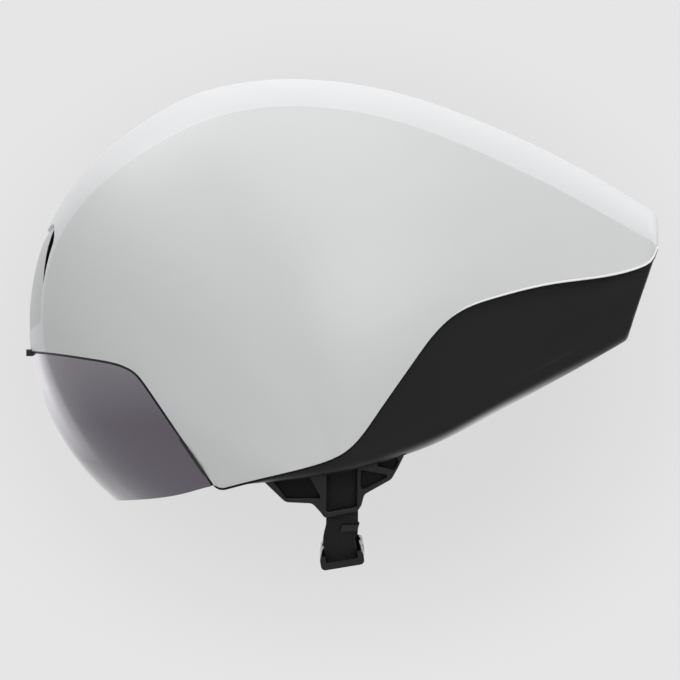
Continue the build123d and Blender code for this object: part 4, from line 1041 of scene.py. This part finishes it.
yoke_nylon = grainy("yoke_nylon", (0.040, 0.041, 0.044), 0.46, grain=520, depth=0.00001, shift=0.10, specular=0.4)
finish_nodes(yoke_nylon, "fit_yoke", "dial_housing")
rack_nylon = grainy("rack_nylon", (0.030, 0.031, 0.033), 0.34, grain=420, depth=0.000006, shift=0.08, specular=0.5)
finish_nodes(rack_nylon, "rack_band_left", "rack_band_right", "temple_pin_left", "temple_pin_right")
pinion_nylon = grainy("pinion_nylon", (0.42, 0.41, 0.37), 0.40, grain=480, depth=0.000005, shift=0.04, specular=0.5)
finish_nodes(pinion_nylon, "dial_pinion")
knob_rubber = grainy("knob_rubber", (0.022, 0.022, 0.023), 0.72, grain=300, depth=0.00003, shift=0.14, specular=0.3)
finish_nodes(knob_rubber, "dial_knob")
screw_steel = grainy("screw_steel", (0.50, 0.50, 0.51), 0.30, grain=700, depth=0.000005, shift=0.06, metallic=1.0)
finish_nodes(screw_steel, "dial_screw")
rivet_black = grainy("rivet_black", (0.020, 0.020, 0.021), 0.30, grain=500, depth=0.000005, shift=0.08, specular=0.5)
finish_nodes(rivet_black, "guide_rivets_left", "guide_rivets_right")

# Webbing: woven nylon tape, folded round the buckle's bars. One strap comes down behind each guide and
# through its window, and a short one holds the guide's rear arm.

weave_black = (0.0105, 0.0105, 0.011)
strap_x, strap_shown = 0.0226, 0.0157
strap_bend, strap_rise, strap_foot, strap_bar_gap, strap_fold_gap = 0.004, 0.006, 0.0015, 0.00015, 0.0003
fold_near, fold_far, fold_run = 0.0035, 0.005, 0.007
buckle_near, buckle_tilt = np.array([-0.052, -0.1093]), np.radians(10)
buckle_roll, buckle_lift = np.radians(9.5), 0.0013
buckle_bar, buckle_length = 0.0026, 0.0418
roll_start, roll_run, tape_step = 0.002, 0.012, 0.0005


def woven(name, colour):
    """Tape: ribs across it and cords along it from two waves over the tape's own length and width."""
    material = grainy(name, colour, 0.78, grain=2600, depth=0.00002, shift=0.12, specular=0.25)
    tree, shader, tones = opened(material)
    where = add_node(tree, "UVMap", uv_map="tape").outputs["UV"]
    ribs_across, cords_along = (
        add_node(tree, "TexWave", {"Vector": where, "Scale": scale, "Distortion": 0.4},
                 bands_direction=way).outputs["Fac"]
        for way, scale in (("X", 190.0), ("Y", 330.0)))
    both = reckon(tree, "MULTIPLY", ribs_across, cords_along)
    over_bump(tree, shader, both, 0.00016, 0.8)
    # Painted shade: the tape's colour is darkened where the weave is low, in its grooves.
    shade_in_low_places = blended(tree, reckon(tree, "SUBTRACT", 1.0, both), tones, (0.55, 0.55, 0.56, 1), "MULTIPLY")
    tree.links.new(shade_in_low_places, shader.inputs["Base Color"])
    return material


arc_points = 7


def rounded(places, radii, closed=True):
    """A line through places with each corner turned on an arc of its radius."""
    places = np.asarray(places, float)
    radii = np.broadcast_to(radii, len(places))
    line = []
    for i, (corner, radius) in enumerate(zip(places, radii)):
        if not closed and i in (0, len(places) - 1):
            line.append(corner)
            continue
        back, ahead = unit(places[i - 1] - corner), unit(places[(i + 1) % len(places)] - corner)
        half = np.arccos(np.clip(back @ ahead, -1, 1)) / 2
        centre = corner + unit(back + ahead) * radius / np.sin(half)
        start = (corner + back * radius / np.tan(half) - centre) / radius
        end = (corner + ahead * radius / np.tan(half) - centre) / radius
        share, bend = np.linspace(0, 1, arc_points)[:, None], np.pi - 2 * half
        line.extend(centre + radius * (np.sin((1 - share) * bend) * start + np.sin(share * bend) * end) / np.sin(bend))
    return np.array(line)


def strap_start(hand):
    """Where the tape comes down behind the guide, as places in Y and Z."""
    back = strap_gap + strap_thickness / 2 + strap_width / 2 * np.sin(guide_toe)
    down = np.array([-np.sin(guide_lean) * hand, -np.cos(guide_lean)])
    y = guide_half_span - strap_x * np.tan(guide_toe) - back * np.cos(guide_lean)
    start = np.array([hand * y, guide_top + back * np.sin(guide_lean)])
    return start - down * strap_rise, start + down * (guide_drop + strap_foot) / np.cos(guide_lean)


def wrap(start, bar):
    """Places of a path in Y and Z that comes from a start, goes round a bar and folds back along itself."""
    run = bar - start
    turn = buckle_bar / 2 + strap_bar_gap + strap_thickness / 2
    heading = np.arctan2(run[1], run[0]) - np.arcsin(turn / np.hypot(*run))
    way = np.array([np.cos(heading), np.sin(heading)])
    across = np.array([way[1], -way[0]])
    fold, far = turn - strap_thickness - strap_fold_gap, -fold_near - fold_far
    spots = [(turn, turn), (-turn, turn), (-turn, -fold_near), (fold, far), (fold, far - fold_run)]
    radii = [turn * 0.98, turn * 0.98, strap_bend, strap_bend]
    return [bar + across * over + way * along for over, along in spots], radii


def rolled(points, share):
    """Points turned by a share of the buckle's own roll about its long middle line, and lifted by that share."""
    way = np.array([0, np.cos(buckle_tilt), np.sin(buckle_tilt)])
    start = np.array([strap_x, *buckle_near])
    angle, share = -np.asarray(share * buckle_roll)[..., None], np.asarray(share)[..., None]
    arm = points - start
    along = way * (arm @ way)[..., None]
    turned = arm * np.cos(angle) + np.cross(way, arm) * np.sin(angle) + along * (1 - np.cos(angle))
    return start + turned + np.array([0, 0, buckle_lift]) * share


def roll_share(points):
    """How much of the buckle's roll the tape has taken on: none at the guide and all of it 14 mm below."""
    low = np.clip((guide_top - guide_drop - roll_start - points[:, 2]) / roll_run, 0, 1)
    return low**2 * (3 - 2 * low)


def tape(name, path, across, material, width):
    """Tape swept along a path: its section is flat with round edges. Its own length and width go in the
    UV map."""
    along = unit(np.gradient(path, axis=0))
    side = unit(across - (along @ across)[:, None] * along)
    turn = np.linspace(0, 2 * np.pi, 22, endpoint=False)
    profile = np.stack([width / 2 * np.sign(np.cos(turn)) * np.abs(np.cos(turn)) ** 0.45,
                        strap_thickness / 2 * np.sign(np.sin(turn)) * np.abs(np.sin(turn)) ** 0.5], -1)
    points, faces = outward(*swept(path, side, np.cross(along, side), profile))
    points = rolled(points, roll_share(points))
    piece = new_piece(name, points, faces, material, sharp=70)
    run = np.r_[0, np.cumsum(np.linalg.norm(np.diff(path, axis=0), axis=1))]
    place = np.stack([np.tile(profile[:, 0], len(path)), np.repeat(run, len(turn))], -1)
    corner = np.zeros(len(piece.data.loops), int)
    piece.data.loops.foreach_get("vertex_index", corner)
    piece.data.uv_layers.new(name="tape").data.foreach_set("uv", place[corner].ravel())
    return piece


tape_weave = woven("tape_weave", weave_black)
hands = ((-1, "left"), (1, "right"))
for hand, name in hands:
    top, foot = strap_start(hand)
    along = buckle_bar / 2 if hand < 0 else buckle_length - buckle_bar / 2
    bar = buckle_near + np.array([np.cos(buckle_tilt), np.sin(buckle_tilt)]) * along
    places, radii = wrap(foot, bar)
    line = evened(rounded([top, foot] + places, [0, strap_bend] + radii + [0], closed=False), tape_step)
    path = np.column_stack([np.full(len(line), strap_x), line])
    chin_tape = tape("chin_tape_" + name, path, np.array([1.0, 0, 0]), tape_weave, strap_shown)
    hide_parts("chin_strap_" + name)
    if hand < 0:
        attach(chin_tape, "shell")
    else:
        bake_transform(chin_tape)

# Rear straps: a short length of the same tape under each guide's rear arm, held by its rivet.

for hand, name in hands:
    centre, run, out, down = guide_ways(hand)
    flat = guide_flat([(0.752, 0.225), (0.938, -0.175)])
    ends = centre + flat[:, :1] * run + flat[:, 1:] * down - out * (strap_gap + strap_thickness / 2)
    path = evened(ends, tape_step)
    rear_tape = tape("rear_tape_" + name, path, np.cross(ends[1] - ends[0], out), tape_weave, strap_width * 0.9)
    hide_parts("rear_strap_" + name)
    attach(rear_tape, "shell")

# Strap guides: one moulded nylon Y at each side, riveted up into the black shell. It is a tray with two
# hollows and a rib between them, and its two arms meet at a slanted bar that the tape runs behind.

guide_nylon = grainy("guide_nylon", (0.0125, 0.0125, 0.013), 0.36, grain=600, depth=0.000008, shift=0.10, specular=0.24)
# Painted shade: the hollows' floors take a darker, matt copy of the nylon, standing for the shade in the recesses.
hollow_painted_shade = grainy("hollow_painted_shade", (0.0085, 0.0085, 0.0085), 0.75, grain=900, depth=0.00001, shift=0.12,
                      specular=0.12)
guide_round, hollow_slope, shade_depth_margin = 0.0010, 0.0006, 0.0006
guide_shares = [
    (0.0, -0.31), (0.0, 0.27), (0.204, 0.737), (0.385, 0.757), (0.437, 0.890), (0.470, 0.995), (0.690, 0.885),
    (0.716, 0.790), (0.735, 0.610), (0.916, 0.363), (0.958, 0.18), (1.0, -0.03), (1.0, -0.31)]
guide_radii = np.array([1, 2, 4.5, 4, 5, 1.6, 2.6, 2, 3, 5, 4, 3, 1]) * 1e-3
guide_line = rounded(guide_flat(guide_shares), guide_radii)
guide_along, guide_across = np.linspace(-0.01, 1.01, 186), np.linspace(-0.33, 1.01, 104)
tape_window = rounded(guide_flat([(0.482, 0.10), (0.482, 0.885), (0.683, 0.797), (0.683, 0.10)]), 0.0005)
hollows = [rounded(guide_flat(shares), 0.0007) for shares in (
    [(0.085, 0.25), (0.212, 0.665), (0.440, 0.665), (0.345, 0.25)],
    [(0.712, 0.215), (0.712, 0.525), (0.900, 0.300)],
    [(0.800, 0.120), (0.930, 0.200), (0.960, 0.060), (0.940, -0.02)])]


def guide_height(flat):
    """Height of the tray's face: full on the rims, down a slope to the web in a hollow, round at the edges."""
    hollow = np.min([line_gap(loop, flat) for loop in hollows], axis=0)
    fall = np.clip(0.5 - hollow / hollow_slope, 0, 1)
    high = guide_wall - (guide_wall - guide_web) * fall**2 * (3 - 2 * fall)
    rim = np.clip(guide_round - np.minimum(-line_gap(guide_line, flat), line_gap(tape_window, flat)), 0, guide_round)
    return high - guide_round + np.sqrt(guide_round**2 - rim**2)


for hand, name in hands:
    centre, run, out, down = guide_ways(hand)

    def guide_place(s, t):
        flat = guide_flat(np.stack([s, t], -1))
        return centre + flat[..., :1] * run + flat[..., 1:] * down + guide_height(flat)[..., None] * out

    def guide_keep(points):
        flat = np.stack([(points - centre) @ run, (points - centre) @ down], -1)
        return np.minimum(-line_gap(guide_line, flat), line_gap(tape_window, flat))

    points, faces, shares = trimmed(guide_place, guide_keep, guide_along, guide_across)
    flat = guide_flat(shares)
    back = centre + flat[:, :1] * run + flat[:, 1:] * down
    guide_tray = new_piece("guide_tray_" + name, *outward(*walled(points, faces, 0, back)), guide_nylon, sharp=50)
    guide_tray.data.materials.append(hollow_painted_shade)
    # Faces low in the hollows get the painted shade.
    shade_in_low_places = guide_height(flat) < guide_web + shade_depth_margin
    painted_shade_faces = [int(max(p.vertices) < len(flat) and shade_in_low_places[list(p.vertices)].all()) for p in guide_tray.data.polygons]
    guide_tray.data.polygons.foreach_set("material_index", painted_shade_faces)
    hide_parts("strap_guide_" + name)
    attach(guide_tray, "shell")

# Buckle: a glossy acetal side-release buckle under the chin, its female half on the left strap and its
# sprung male half on the right. A small keeper above it holds the strap's loose end.

flat_angle, sharp_angle = 0.02, 0.6
buckle_gloss = grainy("buckle_gloss", (0.007, 0.007, 0.0075), 0.14, grain=260, depth=0.000004, shift=0.06, coat=0.25,
                      coat_roughness=0.04, specular=0.16)


def eased(name, node, material, width, body, roll=None):
    """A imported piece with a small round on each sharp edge, turned with the buckle."""
    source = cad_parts[node]
    mesh = source.data.copy()
    mesh.transform(source.matrix_world)
    places = np.zeros(len(mesh.vertices) * 3)
    mesh.vertices.foreach_get("co", places)
    places = places.reshape(-1, 3)
    mesh.vertices.foreach_set("co", rolled(places, roll(places) if roll else 1.0).ravel())
    work = bmesh.new()
    work.from_mesh(mesh)
    bmesh.ops.remove_doubles(work, verts=work.verts, dist=1e-6)
    bmesh.ops.dissolve_limit(work, angle_limit=flat_angle, verts=work.verts, edges=work.edges)
    sharp = [e for e in work.edges if e.is_manifold and e.calc_face_angle(0) > sharp_angle]
    bmesh.ops.bevel(work, geom=sharp, offset=width, segments=3, affect="EDGES", profile=0.5, clamp_overlap=True)
    bmesh.ops.triangulate(work, faces=[f for f in work.faces if len(f.verts) > 4])
    work.to_mesh(mesh)
    work.free()
    mesh.materials.clear()
    mesh.materials.append(material)
    mesh.polygons.foreach_set("material_index", np.zeros(len(mesh.polygons), np.int32))
    mesh.polygons.foreach_set("use_smooth", [True] * len(mesh.polygons))
    mesh.set_sharp_from_angle(angle=np.radians(50))
    piece = bpy.data.objects.new(name, mesh)
    bpy.context.scene.collection.objects.link(piece)
    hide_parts(node)
    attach(piece, body)


eased("buckle_socket", "buckle_female", buckle_gloss, 0.0008, "shell")
eased("buckle_plug", "buckle_male", buckle_gloss, 0.00035, "male_clip")
eased("buckle_springs", "buckle_prongs", buckle_gloss, 0.0002, "male_clip")
eased("tape_keeper", "strap_keeper", guide_nylon, 0.0002, "shell", roll=roll_share)

# Pads: five knitted-fabric cushions over soft foam, stuck into the hollow of the liner, and two thin ones
# on the arms of the fit system. Each is crowned and sewn down along its edge, the five in two channels too.

pad_charcoal = (0.030, 0.030, 0.033)
head_reaches = np.array([head_reach, head_half, head_rise])
pad_seat, pad_thickness = hollow_gap - 0.0003, 0.005
rim_high, channel_depth, channel_half = 0.30, 0.42, 0.045
corner_power, side_pull = 5, 0.035
seam_place, seam_half, seam_depth = 0.93, 0.02, 0.10


def knitted(name, colour):
    """Brushed knit: small loops from cells over soft fuzz."""
    material = grainy(name, colour, 0.92, grain=1800, depth=0.00006, shift=0.15, specular=0.15)
    tree, shader, _ = opened(material)
    shader.inputs["Sheen Weight"].default_value = 0.25
    over_bump(tree, shader, cells(tree, 1100.0), 0.00018, 0.7)
    return material


def cushion_form(half_long, half_wide, thick, channels):
    """Length, width and height of a crowned cushion: rings run out from the middle of the face over the
    rolled edge to the flat back. Its outline is a squarish oval whose sides pull in between corners."""
    turns = np.linspace(0, 2 * np.pi, 132, endpoint=False)
    ring, turn = np.meshgrid(np.linspace(0.02, 1.98, 60), turns, indexing="ij")
    share = np.where(ring < 1, ring, 2 - ring)
    corner = (np.abs(np.cos(turn)) ** corner_power + np.abs(np.sin(turn)) ** corner_power) ** (-1 / corner_power)
    pull = 1 - side_pull * np.cos(2 * turn) ** 2
    a, b = share * corner * pull * np.cos(turn), share * corner * pull * np.sin(turn)
    swell = (1 - share**4) ** 0.5
    for place in channels:
        swell = swell * (1 - channel_depth * np.exp(-((a - place) / channel_half) ** 2))
    seam = seam_depth * np.exp(-((share - seam_place) / seam_half) ** 2)
    high = thick * np.where(ring < 1, rim_high + (1 - rim_high) * swell - seam, rim_high * share**3)
    return a * half_long, b * half_wide, high


def cushion(name, node, points, material, body):
    """A closed cushion from its rings of points, with a cap in the middle of the face and of the back."""
    rings, sides = points.shape[:2]
    faces = grid_faces(rings, sides).tolist()
    last = np.arange(rings - 1) * sides + sides - 1
    faces += np.stack([last, last + sides, last + 1, last - sides + 1], 1).tolist()
    faces += [list(range(sides)), list(range((rings - 1) * sides, rings * sides))[::-1]]
    piece = new_piece(name, *outward(points.reshape(-1, 3), faces), material, sharp=80)
    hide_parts(node)
    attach(piece, body)


pad_knit = knitted("pad_knit", pad_charcoal)
channels = (-0.36, 0.36)
for name, node, way, sign, level, half_long, half_wide in (
        ("brow_cushion", "brow_pad", 0, -1, 0.016, 0.048, 0.011),
        ("crown_cushion", "crown_pad", 2, 1, 0.0, 0.046, 0.015),
        ("rear_cushion", "rear_pad", 0, 1, 0.058, 0.035, 0.011),
        ("side_cushion_left", "side_pad_left", 1, -1, 0.050, 0.037, 0.013),
        ("side_cushion_right", "side_pad_right", 1, 1, 0.050, 0.037, 0.013)):
    a, b, high = cushion_form(half_long, half_wide, pad_thickness * 0.96, channels)
    long_way, wide_way = {0: (1, 2), 1: (0, 2), 2: (0, 1)}[way]
    points = np.zeros(a.shape + (3,))
    points[..., long_way], points[..., wide_way] = a, b + level
    reaches = head_reaches + (pad_seat - high)[..., None]
    flat = points / reaches
    points[..., way] = sign * reaches[..., way] * np.sqrt(1 - flat[..., long_way] ** 2 - flat[..., wide_way] ** 2)
    cushion(name, node, points, pad_knit, "shell")

arm_centre, arm_radius, nape_thickness = np.array([0.0793, -0.0273, -0.010]), 0.0235, 0.003
nape_start, nape_end, nape_half = np.radians(23.6), np.radians(62.0), 0.0075
for hand, name, body in ((1, "left", "left_band"), (-1, "right", "right_band")):
    a, b, high = cushion_form((nape_end - nape_start) / 2, nape_half, nape_thickness * 0.95, ())
    angle, reach = a + (nape_start + nape_end) / 2, arm_radius - high
    points = np.stack([reach * np.cos(angle), arm_centre[1] - reach * np.sin(angle), b], -1)
    points = points * (1, hand, hand) + (arm_centre[0], 0, arm_centre[2])
    cushion("nape_cushion_" + name, "nape_pad_" + name, points, pad_knit, body)
